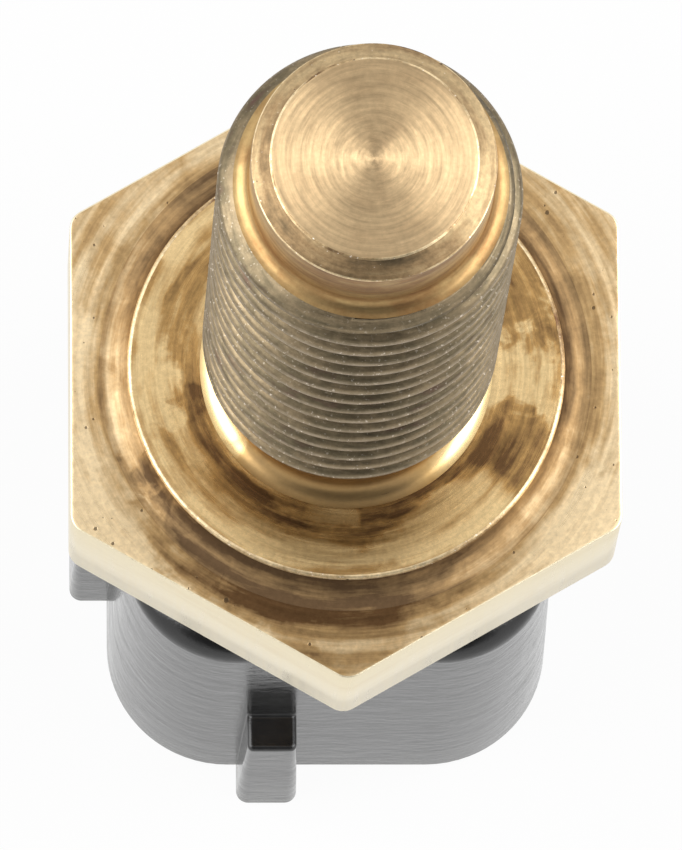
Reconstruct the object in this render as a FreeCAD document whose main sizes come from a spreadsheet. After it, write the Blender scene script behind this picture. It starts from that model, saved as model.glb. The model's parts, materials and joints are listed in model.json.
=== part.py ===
# Coolant temperature switch: brass screw-in body, moulded plug socket and a bimetal snap-disc contact set.
# Millimetres. +Z runs from the socket's mouth to the sensing tip. The origin is on the thread's axis, in the
# plane of the mouth. A corner of the hexagon points along +Y. Every height is built up from the mouth.
import FreeCAD, Part
import math
import os

import Sketcher

SIZES = {
    # Brass body
    "hex_across_flats": 22.0,
    "hex_thickness": 6.0,
    "hex_corner_radius": 0.8,
    "collar_diameter": 17.5,
    "collar_height": 0.85,
    "collar_flare": 1.1,
    "collar_hollow": 1.0,
    "thread_diameter": 11.7,
    "thread_length": 22.66,
    "relief_diameter": 9.9,
    "relief_length": 3.7,
    "relief_fillet": 0.9,
    "relief_cone": 0.9,
    "pilot_diameter": 9.32,
    "pilot_length": 2.7,
    "pilot_fillet": 0.6,
    "tip_diameter": 7.9,
    "tip_chamfer": 0.55,
    "tip_wall": 1.5,
    "bore_diameter": 7.2,
    "chamber_diameter": 13.0,
    "gland_width": 1.7,
    "skirt_wall": 1.0,
    "lip_reach": 0.8,
    "lip_thickness": 0.6,
    "lip_rounding": 0.4,
    "shoulder_gap": 2.5,
    "skirt_clearance": 0.2,
    # Plug socket
    "shroud_length": 18.0,
    "shroud_width": 18.24,
    "shroud_depth": 20.5,
    "shroud_corner": 5.0,
    "shroud_draft": 0.5,
    "shoulder_rounding": 1.0,
    "mouth_rounding": 0.4,
    "side_wall": 1.97,
    "end_wall": 1.55,
    "socket_corner": 2.9,
    "socket_depth": 14.0,
    "flange_thickness": 2.0,
    "lug_width": 2.5,
    "lug_reach": 1.53,
    "lug_length": 8.8,
    "lug_rounding": 0.5,
    "lug_edge": 0.2,
    "front_lug_offset": 2.5,
    "side_lug_offset": 1.9,
    "key_width": 1.2,
    "key_reach": 0.7,
    "key_pitch": 8.0,
    "key_setback": 2.5,
    "well_diameter": 9.6,
    "well_depth": 1.2,
    # Terminals and fixed contacts
    "blade_width": 2.8,
    "blade_thickness": 0.8,
    "blade_pitch": 5.0,
    "blade_setback": 4.6,
    "blade_taper": 0.25,
    "foot_margin": 0.4,
    "contact_diameter": 2.0,
    "contact_height": 0.5,
    "contact_edge": 0.15,
    "contact_margin": 2.7,
    # Contact chamber
    "gland_height": 1.2,
    "seal_section": 1.16,
    "base_thickness": 2.0,
    "contact_gap": 0.5,
    "bridge_thickness": 0.4,
    "bridge_width": 2.6,
    "bridge_margin": 1.6,
    "sleeve_wall": 0.7,
    "sleeve_margin": 0.2,
    "sleeve_rib": 0.7,
    "washer_height": 0.5,
    "washer_thickness": 0.18,
    "washer_width": 1.4,
    "guide_flange": 0.6,
    # Return spring and plunger
    "spring_wire": 0.28,
    "spring_diameter": 3.0,
    "spring_turns": 4.0,
    "spring_pocket_depth": 1.2,
    "stem_diameter": 2.0,
    "stem_length": 1.1,
    "head_diameter": 5.2,
    "head_height": 1.0,
    "rod_diameter": 2.4,
    "rod_socket": 0.65,
    "rod_end_chamfer": 0.2,
    # Bimetal disc and its seat
    "disc_thickness": 0.2,
    "disc_dome": 0.25,
    "disc_room": 0.7,
    "seat_height": 0.8,
    "seat_land": 0.7,
    # Clearances
    "loose_fit": 0.1,
    "sliding_fit": 0.05,
    "head_room": 0.3,
}

doc = FreeCAD.newDocument("CoolantSwitch")
sheet = doc.addObject("Spreadsheet::Sheet", "Sizes")
for row, (alias, number) in enumerate(SIZES.items(), start=1):
    sheet.set(f"A{row}", alias)
    sheet.set(f"B{row}", str(number))
    sheet.setAlias(f"B{row}", alias)
doc.recompute()


def sized(formula):
    """The formula with every size's name pointed at its cell."""
    words = []
    word = ""
    for letter in formula + " ":
        if letter.isalnum() or letter == "_":
            word += letter
            continue
        words.append(f"Sizes.{word}" if word in SIZES else word)
        words.append(letter)
        word = ""
    return "".join(words).strip()


def value(formula):
    """The formula's number in millimetres, as the sheet stands."""
    return float(sheet.evalExpression(sized(formula)))


# Heights above the mouth, in the order in which the pieces stack up
SHOULDER = "shroud_length"
SKIRT_END = f"({SHOULDER} + skirt_clearance)"
LIP_TOP = f"({SKIRT_END} + lip_thickness)"
FLANGE_TOP = f"({LIP_TOP} + flange_thickness)"
GLAND_TOP = f"({FLANGE_TOP} + gland_height)"
BASE_TOP = f"({FLANGE_TOP} + base_thickness)"
BRIDGE_BOTTOM = f"({BASE_TOP} + 2 * contact_height + contact_gap)"
BRIDGE_TOP = f"({BRIDGE_BOTTOM} + bridge_thickness)"
SLEEVE_TOP = f"({BRIDGE_TOP} + sleeve_margin)"
WASHER_TOP = f"({SLEEVE_TOP} + washer_height)"
CEILING = f"({WASHER_TOP} + guide_flange)"
HEX_BASE = f"({SHOULDER} + shoulder_gap)"
HEX_TOP = f"({HEX_BASE} + hex_thickness)"
COLLAR_TOP = f"({HEX_TOP} + collar_height)"
THREAD_BASE = f"({COLLAR_TOP} + relief_length + relief_cone)"
THREAD_TOP = f"({THREAD_BASE} + thread_length)"
PILOT_BASE = f"({THREAD_TOP} + (thread_diameter - pilot_diameter) / 2)"
PILOT_TOP = f"({PILOT_BASE} + pilot_length)"
TIP = f"({PILOT_TOP} + tip_chamfer)"
BORE_END = f"({TIP} - tip_wall)"
DISC_SEAT = f"({BORE_END} - disc_room)"
GUIDE_TOP = f"({DISC_SEAT} - seat_height)"
ROD_FOOT = f"({BRIDGE_TOP} + head_height - rod_socket)"
ROD_TOP = f"({DISC_SEAT} + disc_dome - sliding_fit)"
SOCKET_FLOOR = "socket_depth"
WELL_FLOOR = f"({FLANGE_TOP} - well_depth)"
FOOT_BOTTOM = f"({BASE_TOP} - blade_thickness)"
POCKET_FLOOR = f"({BASE_TOP} - spring_pocket_depth)"

# How far the moulded walls lean in over each millimetre of height
DRAFT = "atan(shroud_draft / shroud_length)"

# Lengths across the axis that several cuts and pieces share
SOCKET_WIDTH = "(shroud_width - 2 * side_wall)"
SOCKET_BREADTH = "(shroud_depth - 2 * end_wall)"
BRIDGE_LENGTH = "(chamber_diameter - 2 * bridge_margin)"
CONTACT_PITCH = "(chamber_diameter - 2 * contact_margin)"
FOOT_START = "(blade_pitch - blade_thickness) / 2"
FOOT_LENGTH = f"(({CONTACT_PITCH} + contact_diameter) / 2 + foot_margin - {FOOT_START})"

# Radii that several pieces share
SPIGOT_RADIUS = "(chamber_diameter / 2 + gland_width)"
LIP_RADIUS = f"({SPIGOT_RADIUS} - lip_reach)"
SKIRT_RADIUS = f"({SPIGOT_RADIUS} + skirt_wall)"
CHAMBER_FIT = "(chamber_diameter / 2 - loose_fit)"
BORE_FIT = "(bore_diameter / 2 - loose_fit)"
ROD_BORE = "(rod_diameter / 2 + sliding_fit)"
SEAT_BORE = f"({BORE_FIT} - seat_land)"


def new_body(name):
    """An empty body whose label names its file."""
    body = doc.addObject("PartDesign::Body", name)
    body.Label = name
    return body


def plane(body, role):
    """One of the body's own origin planes."""
    return next(item for item in body.Origin.OriginFeatures if item.Role == role)


def new_sketch(body, name, role="XY_Plane", offset="0"):
    """A sketch on an origin plane, moved along the plane's normal by the offset."""
    sketch = body.newObject("Sketcher::SketchObject", name)
    sketch.AttachmentSupport = [(plane(body, role), "")]
    sketch.MapMode = "FlatFace"
    sketch.setExpression("AttachmentOffset.Base.z", sized(offset))
    return sketch


def pin_point(sketch, geometry, end, place):
    """Holds one point of the sketch at a place given as two formulas."""
    for kind, formula in zip(("DistanceX", "DistanceY"), place):
        held = Sketcher.Constraint(kind, -1, 1, geometry, end, value(formula))
        index = sketch.addConstraint(held)
        sketch.setExpression(f"Constraints[{index}]", sized(formula))


def arc_between(start, finish, radius):
    """The short arc from start to finish; a positive radius keeps its centre on the left."""
    chord = finish - start
    reach = math.sqrt(radius ** 2 - chord.Length ** 2 / 4)
    side = FreeCAD.Vector(-chord.y, chord.x, 0).normalize() * math.copysign(reach, radius)
    centre = start + chord / 2 + side
    angles = [math.atan2(point.y - centre.y, point.x - centre.x) for point in (start, finish)]
    circle = Part.Circle(centre, FreeCAD.Vector(0, 0, 1), abs(radius))
    if radius > 0:
        return Part.ArcOfCircle(circle, angles[0], angles[1])
    return Part.ArcOfCircle(circle, angles[1], angles[0])


def outline(sketch, corners, arcs=None):
    """A closed outline through corners given as pairs of formulas; arcs maps a side to its radius."""
    arcs = arcs or {}
    first = sketch.GeometryCount
    points = [FreeCAD.Vector(value(across), value(up), 0) for across, up in corners]
    count = len(points)
    ends = []
    for side, start in enumerate(points):
        finish = points[(side + 1) % count]
        if side not in arcs:
            sketch.addGeometry(Part.LineSegment(start, finish))
            ends.append((1, 2))
            continue
        radius = value(arcs[side])
        index = sketch.addGeometry(arc_between(start, finish, radius))
        ends.append((1, 2) if radius > 0 else (2, 1))
        rounded = sketch.addConstraint(Sketcher.Constraint("Radius", index, abs(radius)))
        sketch.setExpression(f"Constraints[{rounded}]", sized(f"abs({arcs[side]})"))
    for side in range(count):
        following = (side + 1) % count
        joined = (first + side, ends[side][1], first + following, ends[following][0])
        sketch.addConstraint(Sketcher.Constraint("Coincident", *joined))
    for side, corner in enumerate(corners):
        pin_point(sketch, first + side, ends[side][0], corner)


def rectangle(sketch, across, up, width, height):
    """A rectangle centred on a point."""
    left, right = f"{across} - ({width}) / 2", f"{across} + ({width}) / 2"
    low, high = f"{up} - ({height}) / 2", f"{up} + ({height}) / 2"
    outline(sketch, [(left, low), (right, low), (right, high), (left, high)])


def rounded_rectangle(sketch, across, up, width, height, radius):
    """A rectangle centred on a point, with round corners."""
    left, right = f"{across} - ({width}) / 2", f"{across} + ({width}) / 2"
    low, high = f"{up} - ({height}) / 2", f"{up} + ({height}) / 2"
    corners = [
        (f"{left} + {radius}", low), (f"{right} - {radius}", low), (right, f"{low} + {radius}"),
        (right, f"{high} - {radius}"), (f"{right} - {radius}", high), (f"{left} + {radius}", high),
        (left, f"{high} - {radius}"), (left, f"{low} + {radius}"),
    ]
    outline(sketch, corners, {side: radius for side in (1, 3, 5, 7)})


def circle(sketch, across, up, diameter):
    """A circle centred on a point."""
    centre = FreeCAD.Vector(value(across), value(up), 0)
    radius = value(f"({diameter}) / 2")
    index = sketch.addGeometry(Part.Circle(centre, FreeCAD.Vector(0, 0, 1), radius))
    sized_circle = sketch.addConstraint(Sketcher.Constraint("Radius", index, radius))
    sketch.setExpression(f"Constraints[{sized_circle}]", sized(f"({diameter}) / 2"))
    pin_point(sketch, index, 3, (across, up))


def pad(body, sketch, length, lean=None):
    """Raises the sketch along its normal; with a lean, the sides draw in on the way up."""
    feature = body.newObject("PartDesign::Pad", f"{sketch.Name}_pad")
    feature.Profile = sketch
    feature.setExpression("Length", sized(length))
    if lean:
        feature.setExpression("TaperAngle", sized(f"-{lean}"))
    sketch.Visibility = False
    doc.recompute()
    return feature


def pocket(body, sketch, depth):
    """Cuts the sketch along its normal; fails if it takes nothing away."""
    before = body.Shape.Volume
    feature = body.newObject("PartDesign::Pocket", f"{sketch.Name}_pocket")
    feature.Profile = sketch
    feature.Reversed = True
    feature.setExpression("Length", sized(depth))
    doc.recompute()
    must_shrink(body, before, feature.Name)
    return feature


def must_shrink(body, before, name):
    """Stops the build when a cut has missed the solid."""
    if body.Shape.Volume >= before:
        raise RuntimeError(f"{name} cuts nothing")


def revolve(body, sketch, kind="PartDesign::Revolution"):
    """Turns the sketch once round Z, as a solid or as a cut."""
    before = body.Shape.Volume if kind == "PartDesign::Groove" else None
    feature = body.newObject(kind, f"{sketch.Name}_turned")
    feature.Profile = sketch
    feature.ReferenceAxis = (sketch, ["V_Axis"])
    feature.Angle = 360.0
    doc.recompute()
    if before is not None:
        must_shrink(body, before, feature.Name)
    return feature


def turned(name, corners, arcs=None):
    """A body turned round Z from an outline of radius and height."""
    body = new_body(name)
    sketch = new_sketch(body, f"{name}_section", "XZ_Plane")
    outline(sketch, corners, arcs)
    revolve(body, sketch)
    return body


def edges_where(feature, test):
    """Names of the feature's edges that pass the test."""
    return [f"Edge{number}" for number, edge in enumerate(feature.Shape.Edges, start=1) if test(edge)]


def ring_edge(radius, height):
    """A test for the full circle of this radius at this height round Z."""
    want_radius, want_height = value(radius), value(height)

    def test(edge):
        if not isinstance(edge.Curve, Part.Circle):
            return False
        middle = edge.Curve.Center
        on_axis = math.hypot(middle.x, middle.y) < 1e-4
        return on_axis and abs(edge.Curve.Radius - want_radius) < 1e-3 and abs(middle.z - want_height) < 1e-3

    return test


def upright(places):
    """A test for straight edges along Z that stand at one of the places."""
    wanted = [(value(across), value(up)) for across, up in places]

    def test(edge):
        box = edge.BoundBox
        if box.XLength > 1e-4 or box.YLength > 1e-4:
            return False
        return any(math.hypot(box.Center.x - x, box.Center.y - y) < 1e-3 for x, y in wanted)

    return test


def all_round(height):
    """A test for edges that lie in the plane at this height."""
    want = value(height)

    def test(edge):
        box = edge.BoundBox
        return abs(box.ZMin - want) < 1e-4 and abs(box.ZMax - want) < 1e-4

    return test


def soften(body, kind, test, size):
    """Fillets or chamfers the edges that pass the test on the body's last feature."""
    base = body.Tip
    names = edges_where(base, test)
    if not names:
        raise RuntimeError(f"{body.Label}: no edge to soften")
    feature = body.newObject(f"PartDesign::{kind}", f"{body.Name}_{kind}_{len(body.Group)}")
    feature.Base = (base, names)
    feature.setExpression("Radius" if kind == "Fillet" else "Size", sized(size))
    doc.recompute()
    return feature


def make_brass_body():
    """Hexagon, washer collar, threaded shank, pilot and blind bore, with the skirt that is rolled in below."""
    body = new_body("brass_body")
    radius = "hex_across_flats / sqrt(3)"
    flat = "hex_across_flats / 2"
    corners = [
        ("0", radius), (f"-({flat})", f"{radius} / 2"), (f"-({flat})", f"-({radius}) / 2"),
        ("0", f"-({radius})"), (flat, f"-({radius}) / 2"), (flat, f"{radius} / 2"),
    ]
    hexagon = new_sketch(body, "hexagon", offset=HEX_BASE)
    outline(hexagon, corners)
    pad(body, hexagon, "hex_thickness")
    soften(body, "Fillet", upright(corners), "hex_corner_radius")

    shank = new_sketch(body, "shank", "XZ_Plane")
    outline(shank, [
        ("0", HEX_BASE), ("collar_diameter / 2 + collar_flare", HEX_BASE),
        ("collar_diameter / 2 + collar_flare", HEX_TOP), ("collar_diameter / 2", COLLAR_TOP),
        ("relief_diameter / 2", COLLAR_TOP), ("relief_diameter / 2", f"{COLLAR_TOP} + relief_length"),
        ("thread_diameter / 2", THREAD_BASE), ("thread_diameter / 2", THREAD_TOP),
        ("pilot_diameter / 2 + pilot_fillet", f"{PILOT_BASE} - pilot_fillet"),
        ("pilot_diameter / 2", PILOT_BASE), ("pilot_diameter / 2", PILOT_TOP),
        ("tip_diameter / 2", TIP), ("0", TIP),
    ], {2: "-collar_hollow", 8: "-pilot_fillet"})
    revolve(body, shank)
    soften(body, "Fillet", ring_edge("relief_diameter / 2", COLLAR_TOP), "relief_fillet")

    skirt = new_sketch(body, "skirt", offset=SKIRT_END)
    circle(skirt, "0", "0", f"2 * {SKIRT_RADIUS}")
    pad(body, skirt, f"{HEX_BASE} - {SKIRT_END}")
    soften(body, "Fillet", ring_edge(SKIRT_RADIUS, SKIRT_END), "lip_rounding")

    inside = new_sketch(body, "inside", "XZ_Plane")
    outline(inside, [
        ("0", f"{SKIRT_END} - lip_thickness"), (LIP_RADIUS, f"{SKIRT_END} - lip_thickness"),
        (LIP_RADIUS, LIP_TOP), (SPIGOT_RADIUS, LIP_TOP), (SPIGOT_RADIUS, GLAND_TOP),
        ("chamber_diameter / 2", GLAND_TOP), ("chamber_diameter / 2", CEILING),
        ("bore_diameter / 2", CEILING), ("bore_diameter / 2", BORE_END), ("0", BORE_END),
    ])
    revolve(body, inside, "PartDesign::Groove")
    return body


def blade_places():
    """Places along Y of the two terminals' middles, by the side they stand on."""
    return {"front": "-blade_pitch / 2", "rear": "blade_pitch / 2"}


def make_connector_housing():
    """Moulded socket: shroud, floor, neck and flange, with two outside lugs and two inside keys."""
    body = new_body("connector_housing")
    shroud = new_sketch(body, "shroud")
    rounded_rectangle(shroud, "0", "0", "shroud_width", "shroud_depth", "shroud_corner")
    pad(body, shroud, SHOULDER, DRAFT)
    soften(body, "Fillet", all_round(SHOULDER), "shoulder_rounding")

    socket = new_sketch(body, "socket")
    rounded_rectangle(socket, "0", "0", SOCKET_WIDTH, SOCKET_BREADTH, "socket_corner")
    pocket(body, socket, SOCKET_FLOOR)
    soften(body, "Fillet", all_round("0"), "mouth_rounding")

    neck = new_sketch(body, "neck", offset=f"{SHOULDER} - shoulder_rounding")
    circle(neck, "0", "0", f"2 * ({LIP_RADIUS} - loose_fit)")
    pad(body, neck, f"{LIP_TOP} - {SHOULDER} + shoulder_rounding")
    flange = new_sketch(body, "flange", offset=LIP_TOP)
    circle(flange, "0", "0", f"2 * ({SPIGOT_RADIUS} - loose_fit)")
    pad(body, flange, "flange_thickness")

    well = new_sketch(body, "well", offset=WELL_FLOOR)
    circle(well, "0", "0", "well_diameter")
    pocket(body, well, "well_depth")
    slots = new_sketch(body, "slots", offset=SOCKET_FLOOR)
    for place in blade_places().values():
        rectangle(slots, "0", place, "blade_width + 2 * sliding_fit", "blade_thickness + 2 * sliding_fit")
    pocket(body, slots, f"{WELL_FLOOR} - {SOCKET_FLOOR}")

    keys = new_sketch(body, "keys", offset="key_setback")
    for side in ("-1", "1"):
        rectangle(keys, f"({SOCKET_WIDTH} + side_wall / 2 - key_reach) / 2", f"{side} * key_pitch / 2",
                  "side_wall / 2 + key_reach", "key_width")
    pad(body, keys, f"{SOCKET_FLOOR} - key_setback")

    lugs = new_sketch(body, "lugs")
    front_middle = "-(shroud_depth + lug_reach - end_wall / 2) / 2"
    side_middle = "-(shroud_width + lug_reach - side_wall / 2) / 2"
    rounded_rectangle(lugs, "-front_lug_offset", front_middle, "lug_width", "lug_reach + end_wall / 2",
                      "lug_rounding")
    rounded_rectangle(lugs, side_middle, "-side_lug_offset", "lug_reach + side_wall / 2", "lug_width",
                      "lug_rounding")
    pad(body, lugs, "lug_length", DRAFT)
    soften(body, "Fillet", all_round("lug_length"), "lug_edge")
    return body


def make_terminal(name, place):
    """Stamped blade with a tapered end, bent outwards at the top into the foot that carries the contact."""
    away = "-1" if place.startswith("-") else "1"
    body = new_body(name)
    blade = new_sketch(body, f"{name}_blade", offset="blade_setback")
    rectangle(blade, "0", place, "blade_width", "blade_thickness")
    pad(body, blade, f"{BASE_TOP} - blade_setback")
    soften(body, "Chamfer", all_round("blade_setback"), "blade_taper")
    foot = new_sketch(body, f"{name}_foot", offset=FOOT_BOTTOM)
    rectangle(foot, "0", f"{away} * ({FOOT_START} + {FOOT_LENGTH} / 2)", "blade_width", FOOT_LENGTH)
    pad(body, foot, "blade_thickness")
    return body


def make_contact(name, place, low, domed):
    """Silver button; the edge of its meeting face is rounded."""
    body = new_body(name)
    button = new_sketch(body, f"{name}_button", offset=low)
    circle(button, "0", place, "contact_diameter")
    pad(body, button, "contact_height")
    soften(body, "Fillet", all_round(domed), "contact_edge")
    return body


def make_contact_base():
    """Insulating plate over the flange, with slots and seats for the terminals and a pocket for the spring."""
    body = new_body("contact_base")
    plate = new_sketch(body, "plate", offset=FLANGE_TOP)
    circle(plate, "0", "0", f"2 * {CHAMBER_FIT}")
    pad(body, plate, "base_thickness")
    spring_pocket = new_sketch(body, "spring_pocket", offset=POCKET_FLOOR)
    circle(spring_pocket, "0", "0", "spring_diameter + spring_wire + 2 * loose_fit")
    pocket(body, spring_pocket, "spring_pocket_depth")
    slots = new_sketch(body, "base_slots", offset=FLANGE_TOP)
    seats = new_sketch(body, "foot_seats", offset=FOOT_BOTTOM)
    for place in blade_places().values():
        away = "-1" if place.startswith("-") else "1"
        wide = "blade_width + 2 * sliding_fit"
        rectangle(slots, "0", place, wide, "blade_thickness + 2 * sliding_fit")
        rectangle(seats, "0", f"{away} * ({FOOT_START} + {FOOT_LENGTH} / 2)", wide,
                  f"{FOOT_LENGTH} + 2 * sliding_fit")
    pocket(body, slots, "base_thickness")
    pocket(body, seats, "blade_thickness")
    return body


def make_blade_sealant():
    """Potting compound that fills the housing's well round the terminals."""
    body = new_body("blade_sealant")
    filling = new_sketch(body, "filling", offset=WELL_FLOOR)
    circle(filling, "0", "0", "well_diameter")
    pad(body, filling, "well_depth")
    passages = new_sketch(body, "passages", offset=WELL_FLOOR)
    for place in blade_places().values():
        rectangle(passages, "0", place, "blade_width", "blade_thickness")
    pocket(body, passages, "well_depth")
    return body


def make_spacer_sleeve():
    """Insulating ring round the contacts; two pairs of ribs keep the bridge from turning."""
    body = new_body("spacer_sleeve")
    ring = new_sketch(body, "ring", offset=BASE_TOP)
    circle(ring, "0", "0", f"2 * {CHAMBER_FIT}")
    circle(ring, "0", "0", f"2 * ({CHAMBER_FIT} - sleeve_wall)")
    pad(body, ring, f"{SLEEVE_TOP} - {BASE_TOP}")
    ribs = new_sketch(body, "ribs", offset=BASE_TOP)
    rib_out = f"({CHAMBER_FIT} - sleeve_wall / 2)"
    rib_in = f"({BRIDGE_LENGTH} / 2 - sleeve_rib)"
    for side in ("-1", "1"):
        for end in ("-1", "1"):
            across = f"{side} * (bridge_width / 2 + loose_fit + sleeve_rib / 2)"
            reach = f"sqrt({rib_out} ^ 2 - (bridge_width / 2 + loose_fit + sleeve_rib) ^ 2)"
            rectangle(ribs, across, f"{end} * ({rib_in} + {reach}) / 2", "sleeve_rib", f"{reach} - {rib_in}")
    pad(body, ribs, f"{SLEEVE_TOP} - {BASE_TOP}")
    return body


def make_contact_bridge():
    """Copper strip that joins the two fixed contacts when the plunger is pushed down."""
    body = new_body("contact_bridge")
    strip = new_sketch(body, "strip", offset=BRIDGE_BOTTOM)
    rectangle(strip, "0", "0", "bridge_width", BRIDGE_LENGTH)
    circle(strip, "0", "0", "stem_diameter + 2 * sliding_fit")
    pad(body, strip, "bridge_thickness")
    return body


def make_return_spring():
    """Coil between the base's pocket and the bridge."""
    body = new_body("return_spring")
    wire = new_sketch(body, "wire", "XZ_Plane")
    circle(wire, "spring_diameter / 2", f"{POCKET_FLOOR} + spring_wire / 2 + sliding_fit / 2", "spring_wire")
    coil = body.newObject("PartDesign::AdditiveHelix", "coil")
    coil.Profile = wire
    coil.ReferenceAxis = (wire, ["V_Axis"])
    coil.Mode = "height-turns-angle"
    coil.setExpression("Height", sized(f"{BRIDGE_BOTTOM} - {POCKET_FLOOR} - spring_wire - sliding_fit"))
    coil.setExpression("Turns", sized("spring_turns"))
    doc.recompute()
    return body


def make_housing_seal():
    """Rubber ring in the gland between the flange and the brass step."""
    seal = doc.addObject("Part::Torus", "housing_seal")
    seal.Label = "housing_seal"
    seal.setExpression("Radius1", sized(f"({CHAMBER_FIT} + {SPIGOT_RADIUS}) / 2"))
    seal.setExpression("Radius2", sized("seal_section / 2"))
    seal.setExpression("Placement.Base.z", sized(f"({FLANGE_TOP} + {GLAND_TOP}) / 2"))
    return seal


def make_turned_pieces():
    """The pieces that are turned, pressed or ground round the switch's axis."""
    washer_out = f"({CHAMBER_FIT} - loose_fit)"
    washer_in = f"({washer_out} - washer_width)"
    dome = "((bore_diameter / 2 - loose_fit) ^ 2 + disc_dome ^ 2) / (2 * disc_dome)"
    head = "head_diameter / 2"
    rod = "rod_diameter / 2"
    head_top = f"{BRIDGE_TOP} + head_height"
    return [
        turned("preload_washer", [
            (washer_out, SLEEVE_TOP), (washer_out, f"{SLEEVE_TOP} + washer_thickness"),
            (washer_in, WASHER_TOP), (washer_in, f"{WASHER_TOP} - washer_thickness"),
        ]),
        turned("rod_guide", [
            (ROD_BORE, f"{head_top} + head_room"), (f"{head} + head_room", f"{head_top} + head_room"),
            (f"{head} + head_room", WASHER_TOP), (CHAMBER_FIT, WASHER_TOP), (CHAMBER_FIT, CEILING),
            (BORE_FIT, CEILING), (BORE_FIT, GUIDE_TOP), (ROD_BORE, GUIDE_TOP),
        ]),
        turned("disc_seat", [
            (SEAT_BORE, GUIDE_TOP), (BORE_FIT, GUIDE_TOP), (BORE_FIT, DISC_SEAT), (SEAT_BORE, DISC_SEAT),
        ]),
        turned("bimetal_disc", [
            ("0", f"{DISC_SEAT} + disc_dome"), ("0", f"{DISC_SEAT} + disc_dome + disc_thickness"),
            (BORE_FIT, f"{DISC_SEAT} + disc_thickness"), (BORE_FIT, DISC_SEAT),
        ], {1: f"-({dome})", 3: dome}),
        turned("push_rod", [
            ("0", ROD_FOOT), (f"{rod} - rod_end_chamfer", ROD_FOOT), (rod, f"{ROD_FOOT} + rod_end_chamfer"),
            (rod, f"{ROD_TOP} - rod_end_chamfer"), (f"{rod} - rod_end_chamfer", ROD_TOP), ("0", ROD_TOP),
        ]),
        turned("bridge_carrier", [
            ("0", f"{BRIDGE_BOTTOM} - stem_length"), ("stem_diameter / 2", f"{BRIDGE_BOTTOM} - stem_length"),
            ("stem_diameter / 2", BRIDGE_TOP), (head, BRIDGE_TOP), (head, head_top),
            (ROD_BORE, head_top), (ROD_BORE, ROD_FOOT), ("0", ROD_FOOT),
        ]),
    ]


def make_all():
    """Every piece, in the order in which the switch is put together."""
    pieces = [make_brass_body(), make_connector_housing(), make_blade_sealant(), make_housing_seal()]
    pieces += [make_contact_base(), make_spacer_sleeve(), make_contact_bridge(), make_return_spring()]
    pieces += make_turned_pieces()
    for side, place in blade_places().items():
        away = "-1" if place.startswith("-") else "1"
        contact_place = f"{away} * {CONTACT_PITCH} / 2"
        moving_low = f"({BRIDGE_BOTTOM} - contact_height)"
        pieces.append(make_terminal(f"terminal_{side}", place))
        pieces.append(make_contact(f"fixed_contact_{side}", contact_place, BASE_TOP,
                                   f"{BASE_TOP} + contact_height"))
        pieces.append(make_contact(f"moving_contact_{side}", contact_place, moving_low, moving_low))
    return pieces


def check(pieces):
    """Stops the build when anything failed to compute or a piece isn't a sound solid."""
    for item in doc.Objects:
        if {"Invalid", "Error"} & set(item.State):
            raise RuntimeError(f"{item.Name} did not compute: {item.State}")
    for piece in pieces:
        if piece.Shape.isNull() or not piece.Shape.isValid() or not piece.Shape.Solids:
            raise RuntimeError(f"{piece.Label} is not a sound solid")


def write(pieces):
    """One STEP file for each piece."""
    os.makedirs("parts", exist_ok=True)
    for piece in pieces:
        piece.Shape.exportStep(f"parts/{piece.Label}.step")
        print(f"{piece.Label}: {piece.Shape.Volume:.2f} mm3, {len(piece.Shape.Solids)} solid")


pieces = make_all()
doc.recompute()
check(pieces)
write(pieces)
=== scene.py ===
"""Coolant temperature switch: a brass screw-in body over a black moulded plug socket.

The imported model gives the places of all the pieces, and this script dresses it. Sizes of pieces are in
millimetres and become metres when a mesh is made. +Z runs from the socket's mouth to the sensing tip, and a
corner of the hexagon points along +Y.
"""

import json
import logging
import math
from dataclasses import dataclass
from enum import Enum
from typing import Dict, List, Optional, Sequence, Tuple, Union

import bmesh
import bpy
from mathutils import Matrix, Vector

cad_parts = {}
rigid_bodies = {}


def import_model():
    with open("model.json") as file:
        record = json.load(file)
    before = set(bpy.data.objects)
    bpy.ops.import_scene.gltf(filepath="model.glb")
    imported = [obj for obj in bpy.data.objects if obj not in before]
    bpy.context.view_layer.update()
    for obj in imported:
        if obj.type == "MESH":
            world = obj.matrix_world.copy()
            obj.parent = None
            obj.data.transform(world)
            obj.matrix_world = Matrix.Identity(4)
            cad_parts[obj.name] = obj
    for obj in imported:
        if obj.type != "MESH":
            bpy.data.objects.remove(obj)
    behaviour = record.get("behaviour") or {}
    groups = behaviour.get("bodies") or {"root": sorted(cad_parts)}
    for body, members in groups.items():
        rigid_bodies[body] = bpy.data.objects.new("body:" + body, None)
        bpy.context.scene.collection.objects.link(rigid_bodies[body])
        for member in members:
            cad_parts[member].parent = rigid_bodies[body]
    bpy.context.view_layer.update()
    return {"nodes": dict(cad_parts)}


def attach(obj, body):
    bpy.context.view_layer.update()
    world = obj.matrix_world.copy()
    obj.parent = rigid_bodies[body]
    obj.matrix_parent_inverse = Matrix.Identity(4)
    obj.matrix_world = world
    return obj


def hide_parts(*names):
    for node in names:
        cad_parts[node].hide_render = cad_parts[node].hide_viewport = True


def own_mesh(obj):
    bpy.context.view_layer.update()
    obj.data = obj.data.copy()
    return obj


Colour = Tuple[float, float, float]
Socket = bpy.types.NodeSocket
Feed = Union[float, Sequence[float], "Value", Socket]
Inputs = Dict[Union[str, int], Feed]
Setting = Union[str, bool, int]
Pieces = Dict[str, bpy.types.Object]

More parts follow.
